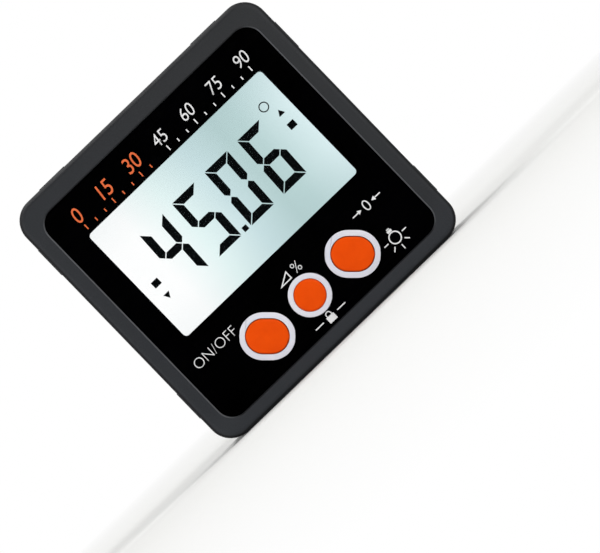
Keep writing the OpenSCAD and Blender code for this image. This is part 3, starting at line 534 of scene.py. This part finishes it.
def move_wall(piece, out, level, by_mm):
    """Moves the outer wall that ends at a level outwards; gives its new distance from the middle line."""
    vertices = piece.data.vertices
    reach = max(out(v.co).length for v in vertices if abs(v.co.y - level) < 0.05 * MM)
    for v in vertices:
        if abs(out(v.co).length - reach) < 0.01 * MM:
            v.co += out(v.co).normalized() * by_mm * MM
    return reach + by_mm * MM


def smooth(piece, angle=30):
    only(piece)
    bpy.ops.object.shade_smooth_by_angle(angle=radians(angle))


def settle(piece, body, slot, *nodes, material=None):
    """Fixes the piece's place, gives it a finish when one comes, parents it to what it rides on and hides the
    nodes it stands for.
    """
    only(piece)
    bpy.ops.object.transform_apply()
    if material:
        piece.data.materials.clear()
        piece.data.materials.append(material)
    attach(piece, body)
    if nodes:
        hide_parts(*nodes)


def join(pieces, name):
    only(pieces[0])
    for piece in pieces:
        piece.select_set(True)
    if len(pieces) > 1:
        bpy.ops.object.join()
    bpy.context.object.name = name
    return bpy.context.object


def flat(made, x, z, turn, size=(1, 1)):
    """Places a flat shape drawn in XY on the face panel, turned anticlockwise as seen from the front."""
    only(made)
    made.matrix_world = (
        Matrix.Translation((x * MM, PANEL_Y, z * MM)) @ Matrix.Rotation(radians(90), 4, "X")
        @ Matrix.Rotation(radians(turn), 4, "Z") @ Matrix.Diagonal((size[0] * MM, size[1] * MM, MM, 1)))
    bpy.ops.object.transform_apply()
    return made


def bar(x, z, width, height, turn=0):
    """Flat bar, its middle at x and z, in millimetres like all the print's sizes."""
    bpy.ops.mesh.primitive_plane_add(size=1)
    return flat(bpy.context.object, x, z, turn, (width, height))


def ring(x, z, radius, line, cut=None, turn=0):
    """Flat ring; cut keeps only what lies above that height, seen from its middle."""
    bpy.ops.mesh.primitive_circle_add(vertices=40, radius=radius, fill_type="NGON")
    made = bpy.context.object
    edit(made)
    bpy.ops.mesh.inset(thickness=line, depth=0)
    bpy.ops.mesh.delete(type="FACE")
    if cut is not None:
        bpy.ops.mesh.select_all(action="SELECT")
        bpy.ops.mesh.bisect(plane_co=(0, cut, 0), plane_no=(0, 1, 0), clear_inner=True)
    done(made)
    return flat(made, x, z, turn)


def arrowhead(x, z, radius, turn):
    bpy.ops.mesh.primitive_circle_add(vertices=3, radius=radius, fill_type="NGON")
    return flat(bpy.context.object, x, z, turn)


def wedge(x, z, width, height, line):
    """Outline of a slope that rises to the right."""
    bpy.ops.mesh.primitive_plane_add(size=1)
    made = bpy.context.object
    made.scale = (width, height, 1)
    bpy.ops.object.transform_apply(scale=True)
    pick(made, "VERT", [v.index for v in made.data.vertices if v.co.x < 0 < v.co.y])
    bpy.ops.mesh.dissolve_verts()
    bpy.ops.mesh.select_mode(type="FACE")
    bpy.ops.mesh.select_all(action="SELECT")
    bpy.ops.mesh.inset(thickness=line, depth=0)
    bpy.ops.mesh.delete(type="FACE")
    done(made)
    return flat(made, x, z, 0)


def words(text, x, z, height, turn=0, stretch=1.0, bold=0.0, slant=0.0):
    """Lettering of a cap height in millimetres, its middle at x and z."""
    bpy.ops.object.text_add()
    made = bpy.context.object
    made.data.body = text
    made.data.align_x, made.data.align_y = "CENTER", "CENTER"
    made.data.size = 1.0
    made.data.offset = bold
    made.data.shear = slant
    made.data.resolution_u = 6
    bpy.ops.object.convert(target="MESH")
    made = bpy.context.object
    low = [min(v.co[i] for v in made.data.vertices) for i in (0, 1)]
    high = [max(v.co[i] for v in made.data.vertices) for i in (0, 1)]
    scale = height / (high[1] - low[1])
    for v in made.data.vertices:
        v.co.x = (v.co.x - (low[0] + high[0]) / 2) * scale * stretch
        v.co.y = (v.co.y - (low[1] + high[1]) / 2) * scale
    return flat(made, x, z, turn)


def print_on_panel(pieces, name, material):
    """Joins flat shapes and gives the ink its thickness, partly sunk in the panel's face."""
    made = join(pieces, name)
    face_outwards(made)
    inward = [face.index for face in made.data.polygons if face.normal.y > 0]
    if inward:
        pick(made, "FACE", inward)
        bpy.ops.mesh.flip_normals()
        done(made)
    ink = made.modifiers.new("ink", "SOLIDIFY")
    ink.thickness, ink.offset = sizes().ink_thickness, 0.6
    only(made)
    bpy.ops.object.modifier_apply(modifier=ink.name)
    settle(made, "case", "panel_acrylic", material=material)


# ---------------------------------------------------------------- sizes and colours

def length(name, text, default):
    return bpy.props.FloatProperty(name=name, description=text, default=default, unit="LENGTH", precision=5)


def shade(name, default):
    return bpy.props.StringProperty(name=name, description="Shade of the " + name.lower(), default=default)


class InclinometerSizes(bpy.types.PropertyGroup):
    edge_round: length("Edge rounding", "How far the housing's outer edges are rounded", 0.34 * MM)
    ink_thickness: length("Ink thickness", "Thickness of the printed legends", 0.03 * MM)
    scale_tick: length("Scale tick", "Width of a tick of the printed angle scale", 0.22 * MM)
    wire: length("Spring wire", "Diameter of the battery springs' wire", 0.4 * MM)
    # Tones low on the left and high on the right: painted light, a cool cast that turns neutral
    housing_low: shade("Housing, low left", "#2b2d31")
    housing_high: shade("Housing, high right", "#2c2d2f")
    # Edge colour for burnished wear and for the painted shade on the outer rim
    housing_worn: shade("Housing, burnished edges and painted rim shade", "#0d0e11")
    # Painted highlight on the panel's side lips
    housing_lip: shade("Housing, painted highlight on the panel's side lips", "#5c5e61")
    panel: shade("Black panel", "#010102")
    ring: shade("Button rings", "#e3e2ea")
    button: shade("Button caps", "#ea4e02")
    button_drift: shade("Button caps, drift", "#e24801")
    legend: shade("White legends", "#ececec")
    accent: shade("Orange part of the scale", "#e26a34")
    light: bpy.props.FloatProperty(name="Light", description="Level of the studio lamps", default=1, min=0)


def sizes():
    return bpy.context.scene.inclinometer_sizes


# ---------------------------------------------------------------- pieces

class BuildHousing(bpy.types.Operator):
    """Moulds the front and rear halves with their rounded outer edges"""
    bl_idname = "inclinometer.housing"
    bl_label = "Housing halves"

    def execute(self, context):
        own = sizes()
        material = housing_plastic(own)
        half, low, high = OUTER

        def beyond(v):
            """How far a point lies outside the housing's outline, seen from the front; negative within."""
            corner = Vector((abs(v.x) - half + BODY_R, abs(v.z - MID_Z) - (high - low) / 2 + BODY_R))
            return corner.length - BODY_R if min(corner) > 0 else max(corner) - BODY_R

        def on_rim(face_y, inward):
            """Test for edges along the outline, on the face or at the inner end of its bevel."""
            def near(v):
                on_face = abs(v.y - face_y) < SAME and beyond(v) > -FACE_BEVEL - 0.1 * MM
                return on_face or (abs(v.y - face_y - inward * FACE_BEVEL) < SAME and beyond(v) > -0.1 * MM)
            return lambda a, b: near(a) and near(b) and abs(a.y - b.y) < SAME

        for node, face_y, inward, name in (
                ("front_housing", FACE_Y, 1, "front_half_shell"),
                ("rear_housing", BACK_Y, -1, "rear_half_shell")):
            piece = copy_of(node, name)
            round_edges(piece, on_rim(face_y, inward), own.edge_round / MM, 4, 15)
            smooth(piece, 24)
            settle(piece, "case", "housing_plastic", node, material=material)
        return {"FINISHED"}


class BuildFace(bpy.types.Operator):
    """Cuts the black panel and the clear window with polished edges"""
    bl_idname = "inclinometer.face"
    bl_label = "Face panel and window"

    def execute(self, context):
        own = sizes()
        panel = copy_of("face_panel", "black_face_panel")
        on_front = at_level(1, PANEL_Y)

        def outside(a, b):
            near = min(PANEL_HIGH.x - abs(a.x), a.z - PANEL_LOW.z, PANEL_HIGH.z - a.z) < PANEL_R + 0.1 * MM
            behind_lens = WINDOW_LOW.x < a.x < WINDOW_HIGH.x and WINDOW_LOW.z < a.z < WINDOW_HIGH.z
            return on_front(a, b) and near and not behind_lens

        round_edges(panel, outside, 0.12)
        smooth(panel)
        settle(panel, "case", "panel_acrylic", "face_panel", material=panel_acrylic(own))
        lens = copy_of("display_window", "clear_display_window")
        round_edges(lens, on_front, 0.08, 2)
        smooth(lens)
        settle(lens, "case", "window_lens", "display_window",
               material=clear_sheet("polished_clear_acrylic_window", "#26302f", "#1e2626", 0.03, 1.49))
        return {"FINISHED"}


class BuildScale(bpy.types.Operator):
    """Prints the angle scale above the window"""
    bl_idname = "inclinometer.scale"
    bl_label = "Angle scale"

    def execute(self, context):
        own = sizes()
        white = print_ink("white_screen_ink", own.legend, "#d9d9da")
        orange = print_ink("orange_screen_ink", own.accent, "#d9602c")
        tick, pitch = own.scale_tick / MM, 2.3

        def ticks(first, count):
            """A tick each five degrees, every third one longer."""
            return [bar(first + i * pitch, 47.05 if i % 3 else 47.25, tick, 0.7 if i % 3 else 1.1)
                    for i in range(count)]

        warm = [words(str(angle), -20.4 + i * 3 * pitch, 49.9, 3.0, stretch=0.82, slant=0.12)
                for i, angle in enumerate((0, 15, 30))] + ticks(-20.6, 8)
        pale = [words(str(angle), 0.1 + i * 3 * pitch, 49.65, 2.5, stretch=0.84, bold=-0.004, slant=0.12)
                for i, angle in enumerate((45, 60, 75, 90))] + ticks(0.1, 10)
        print_on_panel(warm, "scale_print_orange", orange)
        print_on_panel(pale, "scale_print_white", white)
        return {"FINISHED"}


class BuildLegends(bpy.types.Operator):
    """Prints the marks beside the buttons: ON/OFF, slope and per cent signs, padlock, zero and lamp"""
    bl_idname = "inclinometer.legends"
    bl_label = "Button legends"

    def execute(self, context):
        white = print_ink("white_screen_ink", sizes().legend, "#d9d9da")
        marks = [words("ON/OFF", -19.05, 15.25, 1.95, stretch=0.95, bold=-0.018)]
        # Slope sign: a wedge and the per cent sign
        marks += [wedge(-1.6, 15.5, 2.9, 1.8, 0.22), words("%", 1.75, 15.6, 2.0, stretch=0.95, bold=-0.008)]
        # Padlock between two dashes: shackle and body
        marks += [ring(0, 5.25, 0.62, 0.2, cut=0.0), bar(0, 4.355, 1.75, 1.25)]
        for side in (-1, 1):
            marks += [bar(side * 0.52, 5.115, 0.2, 0.27), bar(side * 2.7, 4.75, 2.0, 0.22)]
        # Zero between two arrows that point at it
        zero_x, zero_z = 18.7, 14.75
        marks.append(words("0", zero_x, zero_z, 2.1, bold=-0.01))
        for side in (-1, 1):
            marks.append(bar(zero_x + side * 2.75, zero_z, 1.3, 0.22))
            marks.append(arrowhead(zero_x + side * 1.8, zero_z, 0.52, 90 * side))
        # Lamp: bulb, socket and rays
        lamp_x, lamp_z, ray = 18.4, 6.9, 2.2
        marks += [ring(lamp_x, lamp_z, 1.25, 0.24), bar(lamp_x, 8.45, 1.0, 0.5), bar(lamp_x, 8.9, 0.6, 0.22)]
        for turn in (-180, -135, -90, -45, 0):
            x, z = cos(radians(turn)), sin(radians(turn))
            marks.append(bar(lamp_x + ray * x, lamp_z + ray * z, 1.0, 0.22, turn))
        print_on_panel(marks, "button_legend_print", white)
        return {"FINISHED"}


class BuildButtons(bpy.types.Operator):
    """Moulds the three caps and the pale rings round them"""
    bl_idname = "inclinometer.buttons"
    bl_label = "Buttons and rings"

    def execute(self, context):
        own = sizes()
        cap_material, ring_material = button_plastic(own), ring_plastic(own)
        for key in ("power", "hold", "zero"):
            cap = copy_of(key + "_button", key + "_key_cap")
            top = min(v.co.y for v in cap.data.vertices)
            move_wall(cap, off_middle(cap), top + CAP_BEVEL, 0.08)
            round_edges(cap, lambda a, b: abs(a.y - b.y) < SAME and a.y < top + CAP_BEVEL + 0.01 * MM,
                        0.1, 3, 15)
            smooth(cap)
            settle(cap, key + "_key", "button_plastic", key + "_button", material=cap_material)
            collar = copy_of(key + "_button_ring", key + "_key_ring")
            rim = min(v.co.y for v in collar.data.vertices)
            on_rim, out = at_level(1, rim), off_middle(collar)
            reach = move_wall(collar, out, rim, -0.06) - 0.1 * MM
            for outer, width in ((True, 0.1), (False, 0.04)):
                round_edges(collar, lambda a, b: on_rim(a, b) and (out(a).length > reach) == outer, width)
            smooth(collar)
            settle(collar, "case", "ring_plastic", key + "_button_ring", material=ring_material)
            dress(key + "_switch_plunger", moulded_plastic(
                "grey_acetal_plunger", "#3a3b3d", "#55575a", "#333436"))
        dress("switch_bodies", moulded_plastic("black_nylon_switch", "#222325", "#3c3e40", "#1c1d1f"))
        return {"FINISHED"}


class BuildDisplay(bpy.types.Operator):
    """Sets the segments between the glasses and finishes the display stack"""
    bl_idname = "inclinometer.display"
    bl_label = "Display"

    def execute(self, context):
        segments = copy_of("lcd_segments", "display_segments")
        low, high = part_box("lcd_segments")
        self.thin_down(segments, 1 - 0.02 * MM / (high.y - low.y))
        settle(segments, "case", "segment_ink", "lcd_segments", material=segment_ink())
        glass = clear_sheet("display_float_glass", "#1f2b29", "#172120", 0.012, 1.52)
        dress("lcd_front_glass", glass)
        dress("lcd_rear_glass", glass)
        film = copy_of("reflector_film", "backlit_reflector_film")
        self.thin_down(film, 0.9)
        settle(film, "case", "reflector", "reflector_film", material=reflector())
        dress("backlight_guide", moulded_plastic(
            "opal_acrylic_guide", "#eef0ef", "#fafafa", "#e4e8e7", rough=(0.2, 0.3), Subsurface_Weight=0.2,
            Subsurface_Radius=(0.002, 0.002, 0.002), Subsurface_Scale=0.5))
        dress("backlight_leds", moulded_plastic(
            "yellow_phosphor_resin", "#eadfa6", "#f7efc4", "#e2d592", rough=(0.15, 0.25)))
        dress("display_frame", moulded_plastic("white_display_frame", "#dedfdd", "#efefee", "#d3d5d3"))
        dress("display_gasket", foam_rubber())
        dress("connector_strip", striped_rubber())
        return {"FINISHED"}

    def thin_down(self, piece, share):
        """Keeps a share of a sheet's thickness, so that its faces don't lie in its neighbours' faces."""
        depths = [v.co.y for v in piece.data.vertices]
        edit(piece)
        bpy.ops.transform.resize(value=(1, share, 1), center_override=(0, (min(depths) + max(depths)) / 2, 0))
        done(piece)


class FinishBoard(bpy.types.Operator):
    """Finishes the circuit board and what it carries"""
    bl_idname = "inclinometer.board"
    bl_label = "Circuit board"

    def execute(self, context):
        dress("main_board", board_laminate())
        epoxy = moulded_plastic(
            "black_moulding_epoxy", "#1a1b1d", "#2d2e30", "#151617", grain_mm=0.08, depth_mm=0.006,
            rough=(0.45, 0.6))
        for node in ("processor_chip", "resistors", "voltage_regulator"):
            dress(node, epoxy)
        dress("tilt_sensor", turned_metal(
            "matt_nickel_sensor_lid", "#aeb1b5", "#a3a6aa", "#cfd1d4", rough=(0.3, 0.42)))
        dress("crystal", zinc_steel())
        dress("board_screws", zinc_steel())
        dress("capacitors", turned_metal(
            "drawn_aluminium_can", "#c8cbce", "#bcbfc2", "#e3e4e6", rough=(0.25, 0.4)))
        dress("threaded_inserts", turned_metal("knurled_brass", "#c39c45", "#b08a39", "#e2c478", line_mm=0.3))
        return {"FINISHED"}


class BuildFasteners(bpy.types.Operator):
    """Makes the countersunk screws of the back and the base magnets"""
    bl_idname = "inclinometer.fasteners"
    bl_label = "Screws and magnets"

    def execute(self, context):
        screws = copy_of("housing_screws", "countersunk_housing_screws")
        round_edges(screws, at_level(1, max(v.co.y for v in screws.data.vertices)), 0.07, 2)
        smooth(screws)
        settle(screws, "case", "steel", "housing_screws", material=zinc_steel())
        magnets = copy_of("base_magnets", "nickel_plated_magnets")
        heights = [v.co.z for v in magnets.data.vertices]
        round_edges(magnets, at_level(2, min(heights), max(heights)), 0.2)
        smooth(magnets)
        settle(magnets, "case", "magnet_nickel", "base_magnets", material=turned_metal(
            "nickel_plated_neodymium", "#c9c6bf", "#b9b6b0", "#e4e2dd", rough=(0.14, 0.26),
            lines=(1.0, 1.0, 1.0), stain="#96928a"))
        return {"FINISHED"}


class BuildDoor(bpy.types.Operator):
    """Moulds the sliding battery door with its grip grooves and arrow"""
    bl_idname = "inclinometer.door"
    bl_label = "Battery door"

    def execute(self, context):
        door = copy_of("battery_door", "sliding_battery_door")
        back = [v.co for v in door.data.vertices if abs(v.co.y - BACK_Y) < SAME]
        left, right = min(v.x for v in back), max(v.x for v in back)
        bottom, top = min(v.z for v in back), max(v.z for v in back)
        at_back = at_level(1, BACK_Y)

        def on_outline(v):
            return min(v.x - left, right - v.x, v.z - bottom, top - v.z) < SAME

        def on_grip(v):
            return bottom + 1 * MM < v.z < top - 1 * MM and left + 20 * MM < v.x < right - 1 * MM

        for place, width, segments in ((on_outline, 0.2, 3), (on_grip, 0.08, 2)):
            round_edges(door, lambda a, b: at_back(a, b) and place(a) and place(b), width, segments)
        smooth(door)
        settle(door, "door", "housing_plastic", "battery_door", material=housing_plastic(sizes()))
        return {"FINISHED"}


class BuildCells(bpy.types.Operator):
    """Makes the two jacketed cells and their springs, and finishes the contact plates"""
    bl_idname = "inclinometer.cells"
    bl_label = "Cells and contacts"
    button_l = 1.0 * MM  # height of a cell's button

    def execute(self, context):
        jacket = cell_jacket()
        steel = turned_metal("nickel_plated_cell_steel", "#cdcfd1", "#bfc1c4", "#e6e7e8", rough=(0.16, 0.28))
        for node, name, at, way in (
                ("lower_battery", "lower_dry_cell", CELLS[0], 1),
                ("upper_battery", "upper_dry_cell", CELLS[1], -1)):
            low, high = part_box(node)
            bpy.ops.mesh.primitive_cylinder_add(
                vertices=64, radius=CELL_R, depth=CELL_L - self.button_l,
                location=((low.x + high.x - way * self.button_l) / 2, at.y, at.z),
                rotation=(0, way * pi / 2, 0))
            cell = bpy.context.object
            cell.name = name
            bpy.ops.object.transform_apply()
            cell.data.materials.append(jacket)
            cell.data.materials.append(steel)
            for sign, end in ((-1, low.x), (1, high.x)):
                self.shape_end(cell, end - sign * self.button_l * (sign == way), sign == way)
            tip = max(way * v.co.x for v in cell.data.vertices) - max(way * low.x, way * high.x)
            if tip > SAME:
                raise RuntimeError(f"{name} is {tip / MM:.3f} mm too long")

            def on_side(v):
                return abs(Vector((v.y - at.y, v.z - at.z)).length - CELL_R) < SAME

            round_edges(cell, lambda a, b: abs(a.x - b.x) < SAME and on_side(a) and on_side(b), 0.3, 4)
            # The jacket's bands follow this run from the flat end to the button end
            layer = cell.data.uv_layers.new(name="along")
            for loop in cell.data.loops:
                run = (cell.data.vertices[loop.vertex_index].co.x - low.x) / (high.x - low.x)
                layer.data[loop.index].uv = (run if way > 0 else 1 - run, 0.5)
            smooth(cell, 40)
            settle(cell, "case", "cell_jacket", node)
        self.springs(steel)
        for node in ("positive_terminal", "negative_terminal", "bridge_terminal"):
            dress(node, turned_metal(
                "nickel_plated_spring_brass", "#c9c3b0", "#bab49f", "#e2dcc8", stain="#8f8770"))
        return {"FINISHED"}

    def shape_end(self, cell, x, has_button):
        """Crimps the jacket over one end and forms the steel end in it, flat or with its button."""
        found = [f.index for f in cell.data.polygons if abs(f.center.x - x) < SAME and abs(f.normal.x) > 0.9]
        if not found:
            raise RuntimeError(f"no end face at {x:.4f} on {cell.name}")
        pick(cell, "FACE", found)
        self.step_in((0.35, 0), (0.35, -0.22))
        cell.active_material_index = 1
        bpy.ops.object.material_slot_assign()
        if has_button:
            self.step_in((0.5, 0.16), (1.85, 0), (0.25, 0.7), (0.22, 0.3))
        else:
            self.step_in((0.5, 0.16), (1.3, 0.06))
        done(cell)

    def step_in(self, *steps):
        """Insets the chosen face by pairs of a width and a rise, in millimetres."""
        for width, rise in steps:
            bpy.ops.mesh.inset(thickness=width * MM, depth=rise * MM)

    def springs(self, steel):
        """Winds round wire from a wide foot to a narrow tip at the cell, its ends straight along the axis"""
        wire = sizes().wire
        made = []
        box_low, box_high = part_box("battery_springs")
        steps = 40 * SPRING_TURNS
        coil = [k / steps for k in range(steps + 1)]
        route = [(0, 0), *((wire + (SPRING_L - 2 * wire) * part, part) for part in coil), (SPRING_L, 1)]
        for at, foot, way in ((CELLS[0], box_low.x, 1), (CELLS[1], box_high.x, -1)):
            curve = bpy.data.curves.new("spring_wire", "CURVE")
            curve.dimensions, curve.bevel_depth, curve.bevel_resolution = "3D", wire / 2, 4
            curve.use_fill_caps = True
            line = curve.splines.new("POLY")
            line.points.add(len(route) - 1)
            for point, (x, part) in zip(line.points, route):
                radius = SPRING_FOOT_R + (SPRING_TIP_R - SPRING_FOOT_R) * part
                angle = 2 * pi * SPRING_TURNS * part
                point.co = (foot + way * x, at.y + way * radius * cos(angle), at.z + radius * sin(angle), 1)
            piece = bpy.data.objects.new("spring_wire", curve)
            bpy.context.scene.collection.objects.link(piece)
            only(piece)
            bpy.ops.object.convert(target="MESH")
            made.append(bpy.context.object)
        both = join(made, "coiled_contact_springs")
        face_outwards(both)
        smooth(both, 50)
        settle(both, "case", "steel", "battery_springs", material=steel)


class BuildStage(bpy.types.Operator):
    """Sets up the pale floor, the soft lamps, the pale surroundings and the camera"""
    bl_idname = "inclinometer.stage"
    bl_label = "Stage, lamps and camera"

    def execute(self, context):
        own = sizes()
        scene = context.scene
        scene.view_settings.view_transform = "Standard"
        self.floor()
        self.dark_card()
        self.surroundings()
        # Each softbox with its place and its width in metres, and its power in watts
        for name, at, size, power in (
                ("key", (0.60, -0.64, 0.52), 0.5, 5.0), ("fill", (-0.68, -0.60, 0.34), 0.5, 3.1),
                ("top", (-0.08, 0.22, 0.95), 0.6, 5.4)):
            bpy.ops.object.light_add(type="AREA", location=at)
            lamp = context.object
            lamp.name = name + "_softbox"
            lamp.data.size, lamp.data.energy = size, power * own.light
            aim = Vector((0, 0, 0.03)) - Vector(at)
            lamp.rotation_euler = aim.to_track_quat("-Z", "Y").to_euler()
        # The camera looks square at the face and is rolled, so that the level shows on its slope
        turn = radians(44)
        right, up, back = (cos(turn), 0, -sin(turn)), (sin(turn), 0, cos(turn)), (0, -1, 0)
        bpy.ops.object.camera_add()
        camera = context.object
        camera.matrix_world = Matrix((right, up, back)).transposed().to_4x4()
        camera.location = (0.001037, -0.6202, 0.013806)
        camera.data.lens, camera.data.sensor_width, camera.data.sensor_fit = 200, 36, "HORIZONTAL"
        scene.camera = camera
        return {"FINISHED"}

    def floor(self):
        """Pale matt card that keeps the shadow near the object and fades to white far away"""
        bpy.ops.mesh.primitive_grid_add(
            x_subdivisions=8, y_subdivisions=8, size=6, location=(0, 0, -0.02 * MM))
        floor = bpy.context.object
        floor.name = "studio_floor"
        bpy.ops.object.transform_apply()
        made, add, shader, place = start("pale_matt_card", Specular_IOR_Level=0.1)
        fibre = add("TexNoise", place, 1 / (1.2 * MM), 4)
        finish(shader, drifting(add, fibre, "#e6e6e4", "#eaeae8"), add("MapRange", fibre, 0.3, 0.7, 0.8, 0.9),
               relief(add, fibre, 0.01))
        away = add("MapRange", add("VectorMath", place, operation="LENGTH"), 0.09, 0.42, 0.0, 1.0)
        mixed = add("MixShader", away, shader.outputs[0], add("Emission", None, 1.0))
        made.node_tree.links.new(mixed, made.node_tree.nodes["Material Output"].inputs["Surface"])
        floor.data.materials.append(made)

    def dark_card(self):
        """Black card behind the camera and along the floor, seen by reflections alone"""
        bpy.ops.mesh.primitive_grid_add(
            x_subdivisions=4, y_subdivisions=4, size=1.5, location=(0, -0.72, 0.75), rotation=(pi / 2, 0, 0))
        card = bpy.context.object
        card.name = "studio_dark_card"
        bpy.ops.object.transform_apply()
        pick(card, "VERT", [v.index for v in card.data.vertices if v.co.z < SAME])
        bpy.ops.mesh.select_mode(type="EDGE")
        # Its foot ends 2 mm before the face
        bpy.ops.mesh.extrude_region_move(TRANSFORM_OT_translate={"value": (0, 0.703, 0)})
        done(card)
        made, add, shader, place = start("black_velvet_card", Specular_IOR_Level=0.0)
        nap = add("TexNoise", place, 1 / (2 * MM), 3)
        finish(shader, drifting(add, nap, "#000000", "#020202"), add("MapRange", nap, 0.3, 0.7, 0.9, 1.0))
        card.data.materials.append(made)
        for ray in ("camera", "diffuse", "transmission", "shadow", "volume_scatter"):
            setattr(card, "visible_" + ray, False)

    def surroundings(self):
        """White to the camera, mirrors and clear parts; a dim even fill for everything else"""
        world = bpy.data.worlds.new("studio")
        bpy.context.scene.world = world
        world.use_nodes = True
        tree = world.node_tree
        add = partial(add_node, tree)
        rays = add("LightPath").node.outputs
        seen = add("Math", rays["Is Camera Ray"], rays["Is Glossy Ray"], operation="MAXIMUM")
        seen = add("Math", seen, rays["Is Transmission Ray"], operation="MAXIMUM")
        background = tree.nodes["Background"]
        background.inputs["Color"].default_value = (1, 1, 1, 1)
        tree.links.new(add("MapRange", seen, 0.0, 1.0, 0.3, 1.0), background.inputs["Strength"])


class InclinometerPanel(bpy.types.Panel):
    """Lists the pieces of the inclinometer and their sizes and colours"""
    bl_idname = "VIEW3D_PT_inclinometer"
    bl_label = "Inclinometer"
    bl_space_type = "VIEW_3D"
    bl_region_type = "UI"
    bl_category = "Inclinometer"

    def draw(self, context):
        for name in InclinometerSizes.__annotations__:
            self.layout.prop(sizes(), name)
        for step in STEPS:
            self.layout.operator(step.bl_idname)


STEPS = (BuildHousing, BuildFace, BuildScale, BuildLegends, BuildButtons, BuildDisplay, FinishBoard,
         BuildFasteners, BuildDoor, BuildCells, BuildStage)
CLASSES = (InclinometerSizes, *STEPS, InclinometerPanel)


def register():
    for item in CLASSES:
        bpy.utils.register_class(item)
    bpy.types.Scene.inclinometer_sizes = bpy.props.PointerProperty(type=InclinometerSizes)


def unregister():
    del bpy.types.Scene.inclinometer_sizes
    for item in reversed(CLASSES):
        bpy.utils.unregister_class(item)


def main():
    register()
    for step in STEPS:
        getattr(bpy.ops.inclinometer, step.bl_idname.rpartition(".")[2])()
    bpy.context.view_layer.update()


if __name__ == "__main__":
    main()
